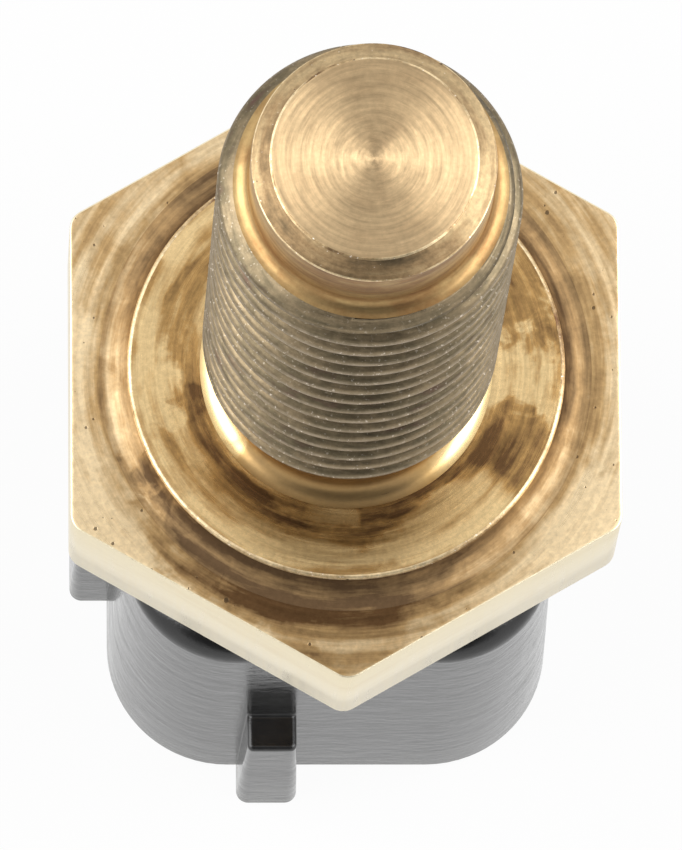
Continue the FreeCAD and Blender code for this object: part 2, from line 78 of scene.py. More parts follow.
LOG = logging.getLogger("coolant_switch")
MM = 0.001
BEVEL_SAMPLES = 4
NOISE_RANGE = (0.3, 0.7)  # most of a noise lies between these
SHARP_FROM = 38.0  # degrees between two faces
SEAM_REACH = 1.5e-6  # metres, for the two ends of the thread's grid
WELD_REACH = 2e-6  # metres, for the thread and the rings beside it
GOLDEN: Colour = (0.85, 0.62, 0.31)
BRONZED: Colour = (0.50, 0.30, 0.112)
DEEP_BROWN: Colour = (0.155, 0.085, 0.038)
PIT_DIRT: Colour = (0.09, 0.06, 0.035)
CREST_WEAR_AND_HIGHLIGHT: Colour = (0.41, 0.335, 0.24)
GLINT_SPECK: Colour = (0.95, 0.84, 0.70)
DUST_AND_SHEEN: Colour = (0.34, 0.34, 0.325)
WHITE: Colour = (1.0, 1.0, 1.0)


class Value:
    """A result in a node tree, which takes part in sums like a number."""

    def __init__(self, graph: "Graph", socket: Socket) -> None:
        """Keeps the tree and the output that the result comes from."""
        self.graph = graph
        self.socket = socket

    def __add__(self, other: Feed) -> "Value":
        """This and the other, in any order."""
        return self.graph.math("ADD", self, other)

    def __mul__(self, other: Feed) -> "Value":
        """This times the other, in any order."""
        return self.graph.math("MULTIPLY", self, other)

    def __sub__(self, other: Feed) -> "Value":
        """This less the other."""
        return self.graph.math("SUBTRACT", self, other)

    def __rsub__(self, other: Feed) -> "Value":
        """The other less this."""
        return self.graph.math("SUBTRACT", other, self)

    def __truediv__(self, other: Feed) -> "Value":
        """This over the other."""
        return self.graph.math("DIVIDE", self, other)

    def __rtruediv__(self, other: Feed) -> "Value":
        """The other over this."""
        return self.graph.math("DIVIDE", other, self)

    def __abs__(self) -> "Value":
        """This without its sign."""
        return self.graph.math("ABSOLUTE", self)

    __radd__, __rmul__ = __add__, __mul__


class Graph:
    """Adds nodes to one tree and joins their sockets."""

    def __init__(self, tree: bpy.types.NodeTree) -> None:
        """Starts on the tree that the nodes go into."""
        self.tree = tree

    def add(self, kind: str, inputs: Optional[Inputs] = None, **settings: Setting) -> bpy.types.Node:
        """Adds one node.

        Args:
            kind: The node's type name.
            inputs: What each input takes, by its name or number.
            **settings: The node's own settings.

        Returns:
            The new node.
        """
        node = self.tree.nodes.new(kind)
        for name, setting in settings.items():
            setattr(node, name, setting)
        for key, value in (inputs or {}).items():
            self.feed(node.inputs[key], value)
        return node

    def value(self, kind: str, inputs: Optional[Inputs] = None, output: int = 0, **settings: Setting) -> Value:
        """Adds one node, as add does, and gives one of its outputs."""
        return Value(self, self.add(kind, inputs, **settings).outputs[output])

    def values(self, kind: str, inputs: Optional[Inputs] = None) -> Dict[str, Value]:
        """Adds one node, as add does, and gives all its outputs by name."""
        return {socket.name: Value(self, socket) for socket in self.add(kind, inputs).outputs}

    def feed(self, socket: Socket, value: Feed) -> None:
        """Sets an input to a value, or joins it to another node's output.

        Args:
            socket: The input.
            value: A number, a row of numbers, a result or an output socket.
        """
        if isinstance(value, Value):
            value = value.socket
        if isinstance(value, Socket):
            self.tree.links.new(value, socket)
            return
        if socket.type == "RGBA" and len(value) == 3:
            value = (*value, 1.0)
        socket.default_value = value

    def math(self, operation: str, *values: Feed, clamp: bool = False) -> Value:
        """The result of one Math node on its inputs in order, held between 0 and 1 if clamp is set."""
        inputs = dict(enumerate(values))
        return self.value("ShaderNodeMath", inputs, operation=operation, use_clamp=clamp)

    def vector(self, operation: str, *values: Feed) -> Value:
        """One Vector Math node.

        Args:
            operation: The node's operation.
            *values: Its inputs in order.

        Returns:
            The result, a vector or a number.
        """
        node = self.add("ShaderNodeVectorMath", operation=operation)
        for index, value in enumerate(values):
            key = "Scale" if operation == "SCALE" and index == 1 else index
            self.feed(node.inputs[key], value)
        return Value(self, node.outputs["Value" if operation in ("LENGTH", "DOT_PRODUCT") else "Vector"])

    def noise(self, place: Feed, scale: float, detail: float = 3.0, rough: float = 0.5,
              distort: float = 0.0) -> Value:
        """Fractal noise between 0 and 1.

        Args:
            place: Where it is read.
            scale: Waves for each unit of the place.
            detail: Number of finer layers.
            rough: How strong the finer layers are.
            distort: How much the pattern is bent.

        Returns:
            The noise.
        """
        inputs = {"Vector": place, "Scale": scale, "Detail": detail, "Roughness": rough, "Distortion": distort}
        return self.value("ShaderNodeTexNoise", inputs)

    def span(self, value: Feed, low: float, high: float, first: float = 0.0, last: float = 1.0,
             smooth: bool = False) -> Value:
        """Maps a range onto another, held at its ends.

        Args:
            value: What is mapped.
            low: The value that gives first.
            high: The value that gives last.
            first: The result at low.
            last: The result at high.
            smooth: Whether the result eases in and out.

        Returns:
            The result.
        """
        inputs = {"Value": value, "From Min": low, "From Max": high, "To Min": first, "To Max": last}
        kind = "SMOOTHSTEP" if smooth else "LINEAR"
        return self.value("ShaderNodeMapRange", inputs, interpolation_type=kind)

    def curve(self, value: Feed, stops: Sequence[Tuple[float, float]]) -> Value:
        """A value that goes through given points and eases between them.

        Args:
            value: What is looked up.
            stops: Pairs of a value and its result, in order.

        Returns:
            The result.
        """
        low, high = stops[0][0], stops[-1][0]
        ramp = self.add("ShaderNodeValToRGB", {0: self.span(value, low, high)})
        ramp.color_ramp.interpolation = "EASE"
        elements = ramp.color_ramp.elements
        for index, (place, result) in enumerate(stops):
            at = (place - low) / (high - low)
            element = elements[index] if index < 2 else elements.new(at)
            element.position = at
            element.color = (result, result, result, 1.0)
        return self.value("ShaderNodeSeparateColor", {0: ramp.outputs[0]})

    def mix(self, factor: Feed, first: Feed, second: Feed, blend: str = "MIX") -> Value:
        """Mixes two colours, or lays the second over the first with a blend; factor is the second's share."""
        inputs = {0: factor, 6: first, 7: second}
        return self.value("ShaderNodeMix", inputs, output=2, data_type="RGBA", blend_type=blend)


def blank(owner: Union[bpy.types.Material, bpy.types.World]) -> Graph:
    """Turns on the nodes of a material or world, and empties its tree.

    Args:
        owner: The material or world.

    Returns:
        Its empty tree, ready for nodes.
    """
    owner.use_nodes = True
    owner.node_tree.nodes.clear()
    return Graph(owner.node_tree)


def link(name: str, data: bpy.types.ID) -> bpy.types.Object:
    """Makes an object and puts it in the scene.

    Args:
        name: The object's name.
        data: Its mesh, lamp or camera.

    Returns:
        The object, at the origin.
    """
    thing = bpy.data.objects.new(name, data)
    bpy.context.scene.collection.objects.link(thing)
    return thing


class Grain(Enum):
    """Which way the tool marks of a metal face run."""

    FACED = "rings on a flat face"
    TURNED = "rings round a shank"
    DRAWN = "lines along the bar"


class Surface:
    """The first nodes of a finish: places in millimetres, radius and height."""

    def __init__(self, name: str) -> None:
        """Starts a material of that name.

        Args:
            name: The material's name.
        """
        self.material = bpy.data.materials.new(name)
        self.graph = blank(self.material)
        self.shader = self.graph.add("ShaderNodeBsdfPrincipled")
        self.graph.add("ShaderNodeOutputMaterial", {"Surface": self.shader.outputs[0]})
        texture = self.graph.values("ShaderNodeTexCoord")
        self.place = self.graph.vector("SCALE", texture["Object"], 1.0 / MM)
        self.slope = self.graph.value("ShaderNodeSeparateXYZ", {0: texture["Normal"]}, output=2)
        self.height = self.graph.value("ShaderNodeSeparateXYZ", {0: self.place}, output=2)
        flat = self.graph.vector("MULTIPLY", self.place, (1.0, 1.0, 0.0))
        self.radius = self.graph.vector("LENGTH", flat)
        self.heading = self.graph.vector("NORMALIZE", flat)

    def rings(self, reach: float, pitch: float, level: Value, detail: float) -> Value:
        """Noise drawn out round the axis, as a tool leaves it.

        Args:
            reach: How fast the marks change on their way round.
            pitch: Distance between marks in millimetres.
            level: The radius or height that the marks follow.
            detail: Number of finer layers.

        Returns:
            The noise.
        """
        round_about = self.graph.vector("SCALE", self.heading, reach)
        lift = self.graph.value("ShaderNodeCombineXYZ", {"Z": level / pitch})
        return self.graph.noise(self.graph.vector("ADD", round_about, lift), 1.0, detail, 0.6)

    def set(self, **values: Feed) -> None:
        """Feeds the shader's inputs, named with underscores for spaces."""
        for key, value in values.items():
            self.graph.feed(self.shader.inputs[key.replace("_", " ")], value)

    def bump(self, height: Value, depth: float, under: Optional[Value] = None) -> Value:
        """Raises and lowers the surface.

        Args:
            height: Height between 0 and 1.
            depth: What 1 means, in millimetres.
            under: A normal that it is laid over.

        Returns:
            The new normal.
        """
        inputs: Inputs = {"Height": height, "Distance": depth * MM, "Strength": 1.0}
        if under is not None:
            inputs["Normal"] = under
        return self.graph.value("ShaderNodeBump", inputs)


@dataclass(frozen=True)
class StainAndLight:
    """A darker patch at one place, in degrees and millimetres, partly tarnished brass and partly painted shade and
    dark reflection; a negative amount is a lighter patch, partly polished metal and partly a painted highlight.
    """

    heading: float
    spread: float
    level: float
    reach: float
    amount: float


@dataclass(frozen=True)
class TurnedBrass:
    """Machined brass with tool marks, tarnishing, small pits, painted glints, and painted shade, painted reflections
    and painted highlights laid in by radius, height and heading.
    """

    name: str
    grain: Grain
    clean_and_highlight: Colour = (0.80, 0.60, 0.34)
    tarnish_and_shade: Colour = (0.44, 0.27, 0.12)
    deep_tarnish_and_shade: Colour = (0.16, 0.085, 0.045)
    darkening: float = 0.2
    mottle: float = 1.2
    stain_size: float = 3.0
    rough: Tuple[float, float] = (0.16, 0.30)
    anisotropy: float = 0.6
    mark_pitch: float = 0.16
    mark_depth: float = 0.004
    mark_reach: float = 1.5
    pits: float = 0.15
    pit_depth: float = 0.012
    pit_crowd: float = 2.7
    pit_reach: float = 0.36
    pit_fray: float = 0.06
    pit_cover: float = 0.75
    contrast: float = 0.10
    grit: float = 0.06
    glints: float = 0.0
    crest_wear_and_highlight: Optional[Tuple[float, float]] = None
    # Darkening by radius or height; in the collar, hollow and face finishes it lays painted shade.
    bands: Tuple[Tuple[float, float], ...] = ((0.0, 0.0), (60.0, 0.0))
    stains_and_light: Tuple[StainAndLight, ...] = ()
    even_spread: float = 0.45
    even_reach: float = 0.35
    wander_level: float = 2.4
    wander_heading: Tuple[float, float] = (0.9, -0.8)

    def patches(self, surface: Surface, level: Value) -> Value:
        """Adds up the patches of tarnishing, painted shade and painted highlight, with edges that wander.

        Args:
            surface: The finish's first nodes.
            level: The radius or height that the patches are placed by.

        Returns:
            The sum.
        """
        graph = surface.graph
        sway = surface.rings(2.0, 1.3, level, 4.0) - 0.5
        bent_level = level + sway * self.wander_level
        stray = graph.noise(surface.place, 0.8, 4.0, 0.55, 0.5) - 0.5
        across, along = (stray * share for share in self.wander_heading)
        aside = graph.value("ShaderNodeCombineXYZ", {0: across, 1: along})
        bent_heading = graph.vector("NORMALIZE", graph.vector("ADD", surface.heading, aside))
        total: Feed = 0.0
        for stain_and_light in self.stains_and_light:
            angle = math.radians(stain_and_light.heading)
            toward = graph.vector("DOT_PRODUCT", bent_heading, (math.cos(angle), math.sin(angle), 0.0))
            near = graph.span(toward, math.cos(math.radians(stain_and_light.spread)),
                              math.cos(math.radians(stain_and_light.spread * self.even_spread)), smooth=True)
            off = abs(bent_level - stain_and_light.level)
            beside = graph.span(off, stain_and_light.reach, stain_and_light.reach * self.even_reach, 0.0, stain_and_light.amount, smooth=True)
            total += near * beside
        return total

    def dots(self, surface: Surface) -> Value:
        """Scatters small pits of uneven size, thicker in some places.

        Args:
            surface: The finish's first nodes.

        Returns:
            A result that is 1 in a pit and 0 beside it.
        """
        graph = surface.graph
        seeds = {"Vector": surface.place, "Scale": self.pit_crowd, "Randomness": 1.0}
        cells = graph.values("ShaderNodeTexVoronoi", seeds)
        size = graph.math("POWER", graph.value("ShaderNodeSeparateColor", {0: cells["Color"]}), 2.5)
        crowd = graph.span(graph.noise(surface.place, 0.5, 3.0), 0.40, 0.62, 0.15, 1.0)
        reach = size * crowd * (self.pit_reach * self.pits)
        frayed = graph.noise(surface.place, 14.0, 2.0) * self.pit_fray
        inside = reach - (cells["Distance"] + frayed)
        return graph.span(inside, -0.02, 0.03, smooth=True)

    def material(self) -> bpy.types.Material:
        """Builds the material.

        Returns:
            The node material.
        """
        surface = Surface(self.name)
        graph = surface.graph
        level = surface.radius if self.grain is Grain.FACED else surface.height
        if self.grain is Grain.DRAWN:
            marks = graph.noise(graph.vector("MULTIPLY", surface.place, (4.0, 4.0, 0.25)), 1.0, 4.0, 0.6)
        else:
            marks = surface.rings(self.mark_reach, self.mark_pitch, level, 4.0)
        blotch = graph.noise(surface.place, 1.0 / self.stain_size, 7.0, 0.62, 0.6)
        drawn_out = surface.rings(1.5, self.stain_size * 0.3, level, 5.0) * 1.5
        mottled = graph.math("MULTIPLY_ADD", blotch, 0.7, drawn_out) - 1.1
        # Darkening sums random tarnishing, the bands and the patches. Where the bands and patches lay painted shade
        # and dark reflections, these show in the two darker colours. Lighter patches are painted highlights in the
        # lightest colour.
        darkening = graph.math("MULTIPLY_ADD", mottled, self.mottle, graph.curve(level, self.bands))
        if self.stains_and_light:
            darkening += self.patches(surface, level)
        stain_and_light = graph.span(darkening, -self.darkening, 0.5 - self.darkening)
        deep_share = graph.span(darkening, 0.5 - self.darkening, 1.0 - self.darkening)
        pit = self.dots(surface)
        colour = graph.mix(deep_share, graph.mix(stain_and_light, self.clean_and_highlight, self.tarnish_and_shade), self.deep_tarnish_and_shade)
        shade = graph.span(marks, *NOISE_RANGE, 1.0 - self.contrast, 1.0 + 0.7 * self.contrast)
        grain = graph.noise(surface.place, 4.5, 5.0, 0.7)
        shade *= graph.span(grain, *NOISE_RANGE, 1.0 - self.grit, 1.0 + self.grit)
        grey = graph.value("ShaderNodeCombineColor", {0: shade, 1: shade, 2: shade})
        colour = graph.mix(1.0, colour, grey, "MULTIPLY")
        colour = graph.mix(pit * self.pit_cover, colour, PIT_DIRT)
        ridge: Feed = 1.0
        # Lighter crests: partly wear and partly a painted highlight along each crest line.
        if self.crest_wear_and_highlight:
            ridge = graph.span(surface.radius, *self.crest_wear_and_highlight, smooth=True)
            patchy = graph.span(graph.noise(surface.place, 2.0, 4.0, 0.7), 0.34, 0.60, 0.25, 1.0)
            colour = graph.mix(ridge * patchy, colour, CREST_WEAR_AND_HIGHLIGHT)
        # Painted glints: bright specks laid into the colour, most on the crests.
        if self.glints:
            sparks = graph.noise(surface.place, 8.0, 2.0, 0.5)
            spark = graph.span(sparks, 0.74 - 0.2 * self.glints, 0.84 - 0.2 * self.glints)
            glint_share = spark * graph.math("MULTIPLY_ADD", ridge, 0.7, 0.3)
            colour = graph.mix(glint_share, colour, GLINT_SPECK)
        gloss = graph.span(marks, *NOISE_RANGE, *self.rough)
        gloss = graph.math("ADD", gloss, stain_and_light * 0.06, clamp=True)
        normal = surface.bump(marks, self.mark_depth)
        normal = surface.bump(1.0 - pit, self.pit_depth, normal)
        if self.grain is Grain.FACED:
            surface.set(Tangent=surface.heading)
        elif self.grain is Grain.TURNED:
            surface.set(Tangent=graph.value("ShaderNodeCombineXYZ", {"Z": 1.0}))
        else:
            surface.set(Tangent=graph.vector("CROSS_PRODUCT", surface.heading, (0.0, 0.0, 1.0)))
        surface.set(Base_Color=colour, Roughness=gloss, Normal=normal, Metallic=1.0, Anisotropic=self.anisotropy)
        return surface.material


@dataclass(frozen=True)
class Moulded:
    """Moulded or cast plastic, rubber, resin or ceramic."""

    name: str
    colour: Colour
    second: Colour
    rough: Tuple[float, float] = (0.32, 0.46)
    grain_size: float = 0.12
    grain_depth: float = 0.003
    flow: float = 0.3
    edge: float = 0.0
    density: float = 1.5
    wave_depth: float = 0.0
    dust_and_sheen: Tuple[Tuple[float, float], ...] = ()

    def material(self) -> bpy.types.Material:
        """Builds the material.

        Returns:
            The node material.
        """
        surface = Surface(self.name)
        graph = surface.graph
        cloud = graph.noise(surface.place, 0.45, 5.0, 0.6, 0.4)
        streak = graph.noise(graph.vector("MULTIPLY", surface.place, (1.3, 1.3, 0.16)), 1.0, 5.0, 0.62)
        grain = graph.noise(surface.place, 1.0 / self.grain_size, 3.0, 0.6)
        share = graph.span(cloud * (1.0 - self.flow) + streak * self.flow, 0.36, 0.64)
        colour = graph.mix(share, self.colour, self.second)
        scuff = graph.noise(graph.vector("MULTIPLY", surface.place, (0.5, 0.5, 1.3)), 1.1, 6.0, 0.62, 0.1)
        # Dust and painted sheen: a light grey on upright walls only, most towards the mouth and none at the shoulder.
        # It is partly dust and partly the walls' grazing sheen, painted in.
        if self.dust_and_sheen:
            uneven = graph.span(scuff, *NOISE_RANGE, 0.4, 1.6)
            upright = 1.0 - abs(surface.slope)
            dust_and_sheen_share = graph.curve(surface.height, self.dust_and_sheen) * uneven
            colour = graph.mix(graph.math("MULTIPLY", dust_and_sheen_share, upright, clamp=True), colour, DUST_AND_SHEEN)
        gloss = graph.span(scuff + grain * 0.4, 0.5, 0.9, *self.rough)
        under = None
        if self.edge:
            under = graph.value("ShaderNodeBevel", {"Radius": self.edge * MM}, samples=BEVEL_SAMPLES)
        if self.wave_depth:
            under = surface.bump(scuff, self.wave_depth, under)
        normal = surface.bump(grain, self.grain_depth, under)
        surface.set(Base_Color=colour, Roughness=gloss, Normal=normal, IOR=self.density)
        return surface.material


@dataclass(frozen=True)
class SheetMetal:
    """Stamped, drawn or plated metal of the small inner pieces."""

    name: str
    colour: Colour
    second: Colour
    rough: Tuple[float, float] = (0.22, 0.38)
    stretch: Tuple[float, float, float] = (1.0, 1.0, 0.2)
    depth: float = 0.002

    def material(self) -> bpy.types.Material:
        """Builds the material.

        Returns:
            The node material.
        """
        surface = Surface(self.name)
        graph = surface.graph
        lines = graph.noise(graph.vector("MULTIPLY", surface.place, self.stretch), 9.0, 3.0, 0.6)
        patch = graph.noise(surface.place, 0.9, 5.0, 0.6, 0.5)
        colour = graph.mix(graph.span(patch, 0.35, 0.68, smooth=True), self.colour, self.second)
        gloss = graph.span(lines, *NOISE_RANGE, *self.rough)
        surface.set(Base_Color=colour, Roughness=gloss, Normal=surface.bump(lines, self.depth), Metallic=1.0)
        return surface.material


class Zone(Enum):
    """The faces of the brass body, each with its own finish."""

    TIP = 0
    CHAMFER = 1
    PILOT = 2
    THREAD = 3
    RELIEF = 4
    COLLAR = 5
    HOLLOW = 6
    FACE = 7
    FLATS = 8
    SKIRT = 9
    BORE = 10
    EDGE = 11


BRASS_FINISHES: Dict[Zone, TurnedBrass] = {
    Zone.TIP: TurnedBrass("brass_tip", Grain.FACED, clean_and_highlight=(0.68, 0.49, 0.275), tarnish_and_shade=(0.42, 0.28, 0.15), darkening=0.06,
        mottle=0.45, rough=(0.32, 0.45), anisotropy=0.9, mark_pitch=0.17, mark_depth=0.014, mark_reach=1.2,
        contrast=0.28, grit=0.11, pits=0.2),
    # Chamfer: the front patch darkens the -Y side, partly tarnished brass and partly painted shade; the patch at 170
    # degrees is tarnishing.
    Zone.CHAMFER: TurnedBrass("brass_chamfer", Grain.TURNED, clean_and_highlight=(0.54, 0.40, 0.22), tarnish_and_shade=(0.34, 0.23, 0.12),
        deep_tarnish_and_shade=(0.13, 0.095, 0.055), darkening=0.15, mottle=1.2, stain_size=0.9, rough=(0.40, 0.56), anisotropy=0.2,
        mark_pitch=0.10, mark_depth=0.010, grit=0.22, pits=0.75, pit_depth=0.02, glints=0.1,
        stains_and_light=(StainAndLight(-106.0, 76.0, 58.8, 3.0, 0.42), StainAndLight(170.0, 30.0, 58.8, 3.0, 0.2))),
    # Pilot: its front patch darkens the -Y side as painted shade.
    Zone.PILOT: TurnedBrass("brass_pilot", Grain.TURNED, clean_and_highlight=(0.52, 0.36, 0.16), tarnish_and_shade=(0.34, 0.195, 0.08),
        deep_tarnish_and_shade=(0.17, 0.095, 0.05), darkening=0.2, mottle=1.2, stain_size=1.4, rough=(0.26, 0.40), mark_pitch=0.12,
        grit=0.12, stains_and_light=(StainAndLight(-95.0, 60.0, 56.5, 4.0, 0.2),)),
    # Thread: its colours are kept much darker than brass, partly tarnishing and partly painted shade.
    Zone.THREAD: TurnedBrass("brass_thread", Grain.TURNED, clean_and_highlight=(0.28, 0.215, 0.13), tarnish_and_shade=(0.16, 0.13, 0.08),
        deep_tarnish_and_shade=(0.14, 0.08, 0.065), darkening=0.2, mottle=1.6, stain_size=1.0, rough=(0.30, 0.46), anisotropy=0.3,
        mark_pitch=0.07, mark_depth=0.005, mark_reach=9.0, grit=0.20, pits=0.3, glints=0.5, crest_wear_and_highlight=(5.76, 5.85)),
    # Relief: its front patch darkens the -Y side as painted shade.
    Zone.RELIEF: TurnedBrass("brass_relief", Grain.TURNED, clean_and_highlight=(0.90, 0.68, 0.34), tarnish_and_shade=(0.50, 0.32, 0.13),
        deep_tarnish_and_shade=(0.30, 0.20, 0.10), darkening=0.0, mottle=0.5, rough=(0.20, 0.30), mark_pitch=0.2,
        stains_and_light=(StainAndLight(-93.0, 58.0, 28.0, 4.0, 0.68),)),
    # Collar: its bands darken it towards the shank as painted shade. Its darker patches are partly tarnished brass
    # and partly painted dark reflections, and its lighter patches are painted highlights.
    Zone.COLLAR: TurnedBrass("brass_collar", Grain.FACED, clean_and_highlight=GOLDEN, tarnish_and_shade=BRONZED, deep_tarnish_and_shade=DEEP_BROWN, darkening=0.20,
        mottle=1.4, stain_size=2.2, rough=(0.14, 0.26), mark_pitch=0.2, mark_depth=0.003, contrast=0.16, grit=0.14,
        bands=((5.6, 0.14), (6.4, 0.16), (7.2, 0.0), (8.3, 0.0), (8.7, 0.06)),
        stains_and_light=(StainAndLight(154.0, 28.0, 7.0, 0.9, 0.40), StainAndLight(-178.0, 24.0, 6.3, 0.7, 0.30),
        StainAndLight(-138.0, 36.0, 6.5, 1.0, 0.42), StainAndLight(-95.0, 24.0, 7.0, 0.6, 0.42), StainAndLight(-60.0, 30.0, 6.1, 0.7, 0.50),
        StainAndLight(-26.0, 15.0, 7.4, 2.2, 0.60), StainAndLight(26.0, 20.0, 7.4, 2.4, 0.45), StainAndLight(-100.0, 20.0, 6.2, 0.6, -0.15),
        StainAndLight(-172.0, 16.0, 7.6, 1.0, -0.28), StainAndLight(-60.0, 26.0, 7.8, 1.4, -0.28), StainAndLight(-7.0, 16.0, 6.7, 1.0, -0.30),
        StainAndLight(0.0, 22.0, 8.2, 0.6, -0.35), StainAndLight(160.0, 26.0, 8.2, 0.7, -0.2))),
    # Hollow: its bands darken it most next to the collar's edge, a painted dark reflection of the collar's wall. The
    # front patch is painted shade, and the lighter patches at -168 and -28 degrees are painted highlights where the
    # side lamps reflect.
    Zone.HOLLOW: TurnedBrass("brass_hollow", Grain.FACED, clean_and_highlight=(0.74, 0.57, 0.34), tarnish_and_shade=(0.42, 0.275, 0.13),
        deep_tarnish_and_shade=(0.13, 0.080, 0.042), darkening=0.24, mottle=1.2, stain_size=1.8, rough=(0.48, 0.62), anisotropy=0.0,
        mark_pitch=0.2, grit=0.14, bands=((8.70, 0.46), (9.00, 0.40), (9.30, 0.26), (9.60, 0.22), (9.85, 0.26)),
        stains_and_light=(StainAndLight(-168.0, 20.0, 9.1, 1.2, -0.20), StainAndLight(-28.0, 14.0, 9.1, 1.2, -0.20),
        StainAndLight(-105.0, 52.0, 9.3, 1.8, 0.46), StainAndLight(20.0, 34.0, 9.3, 1.4, 0.22), StainAndLight(130.0, 34.0, 9.3, 1.4, 0.18))),
    # Face: its bands darken it next to the collar's foot and its patches darken the front, as painted shade with some
    # tarnishing. The lighter patches at -146 and -32 degrees are painted highlights where the side lamps reflect.
    Zone.FACE: TurnedBrass("brass_face", Grain.FACED, clean_and_highlight=(0.92, 0.72, 0.44), tarnish_and_shade=(0.52, 0.34, 0.155),
        deep_tarnish_and_shade=DEEP_BROWN, darkening=0.16, mottle=1.1, stain_size=1.8, rough=(0.24, 0.38), anisotropy=0.4, mark_pitch=0.3,
        mark_depth=0.004, contrast=0.12, grit=0.16, pits=1.0,
        bands=((9.8, 0.40), (10.1, 0.30), (10.6, 0.08), (11.3, 0.0), (13.0, 0.0)),
        stains_and_light=(StainAndLight(-118.0, 25.0, 11.3, 2.2, 0.17), StainAndLight(-92.0, 27.0, 11.3, 2.4, 0.26),
        StainAndLight(-108.0, 48.0, 10.0, 0.9, 0.24), StainAndLight(32.0, 34.0, 11.3, 2.2, 0.16),
        StainAndLight(-32.0, 16.0, 11.2, 2.4, -0.30), StainAndLight(-146.0, 22.0, 11.5, 1.9, -0.32),
        StainAndLight(-178.0, 18.0, 11.2, 1.6, -0.18), StainAndLight(142.0, 20.0, 11.6, 1.8, 0.16))),
    Zone.FLATS: TurnedBrass("brass_flats", Grain.DRAWN, clean_and_highlight=(0.87, 0.77, 0.55), tarnish_and_shade=(0.74, 0.60, 0.38),
        darkening=0.0, mottle=0.4, rough=(0.26, 0.34), anisotropy=0.2, mark_depth=0.001, contrast=0.02, grit=0.02,
        pits=-1.0),
    Zone.SKIRT: TurnedBrass("brass_skirt", Grain.TURNED, rough=(0.18, 0.30)),
    Zone.BORE: TurnedBrass("brass_bore", Grain.TURNED, darkening=0.35, rough=(0.25, 0.4)),
    Zone.EDGE: TurnedBrass("brass_edge", Grain.TURNED, clean_and_highlight=(0.80, 0.63, 0.38), tarnish_and_shade=(0.48, 0.34, 0.18), darkening=0.2,
        mottle=2.6, stain_size=0.7, rough=(0.30, 0.45), anisotropy=0.0, grit=0.3, pits=0.7, pit_depth=0.02,
        glints=0.5),
}


class GrowingTree:
    """A Geometry Nodes tree with named inputs, which grows a mesh once."""

    def __init__(self, name: str, sizes: Dict[str, float], counts: Dict[str, int],
                 finish: bpy.types.Material) -> None:
        """Starts the tree with one named input for each value.

        Args:
            name: The tree's name.
            sizes: Lengths, angles and turns by name.
            counts: Whole numbers by name.
            finish: The material of what grows.
        """
        self.tree = bpy.data.node_groups.new(name, "GeometryNodeTree")
        self.graph = Graph(self.tree)
        self.values = {**sizes, **counts, "Finish": finish}
        face = self.tree.interface
        for group, kind in ((sizes, "NodeSocketFloat"), (counts, "NodeSocketInt")):
            for key, value in group.items():
                face.new_socket(name=key, in_out="INPUT", socket_type=kind).default_value = value
        face.new_socket(name="Finish", in_out="INPUT", socket_type="NodeSocketMaterial")
        face.new_socket(name="Geometry", in_out="OUTPUT", socket_type="NodeSocketGeometry")
        self.given = self.graph.values("NodeGroupInput")

    def grow(self, geometry: Value) -> bpy.types.Mesh:
        """Ends the tree, runs it once and keeps the result.

        Args:
            geometry: What the tree has made, without its finish.

        Returns:
            A plain mesh, free of any modifier.
        """
        real = self.graph.value("GeometryNodeRealizeInstances", {0: geometry})
        finish = {"Geometry": real, "Material": self.given["Finish"]}
        self.graph.add("NodeGroupOutput", {0: self.graph.value("GeometryNodeSetMaterial", finish)})
        holder = link("grown_source", bpy.data.meshes.new("grown_source"))
        modifier = holder.modifiers.new("grown", "NODES")
        modifier.node_group = self.tree
        for item in self.tree.interface.items_tree:
            if item.item_type == "SOCKET" and item.in_out == "INPUT":
                modifier[item.identifier] = self.values[item.name]
        bpy.context.view_layer.update()
        evaluated = holder.evaluated_get(bpy.context.evaluated_depsgraph_get())
        mesh = bpy.data.meshes.new_from_object(evaluated)
        holder.modifiers.remove(modifier)
        bpy.data.objects.remove(holder)
        return mesh


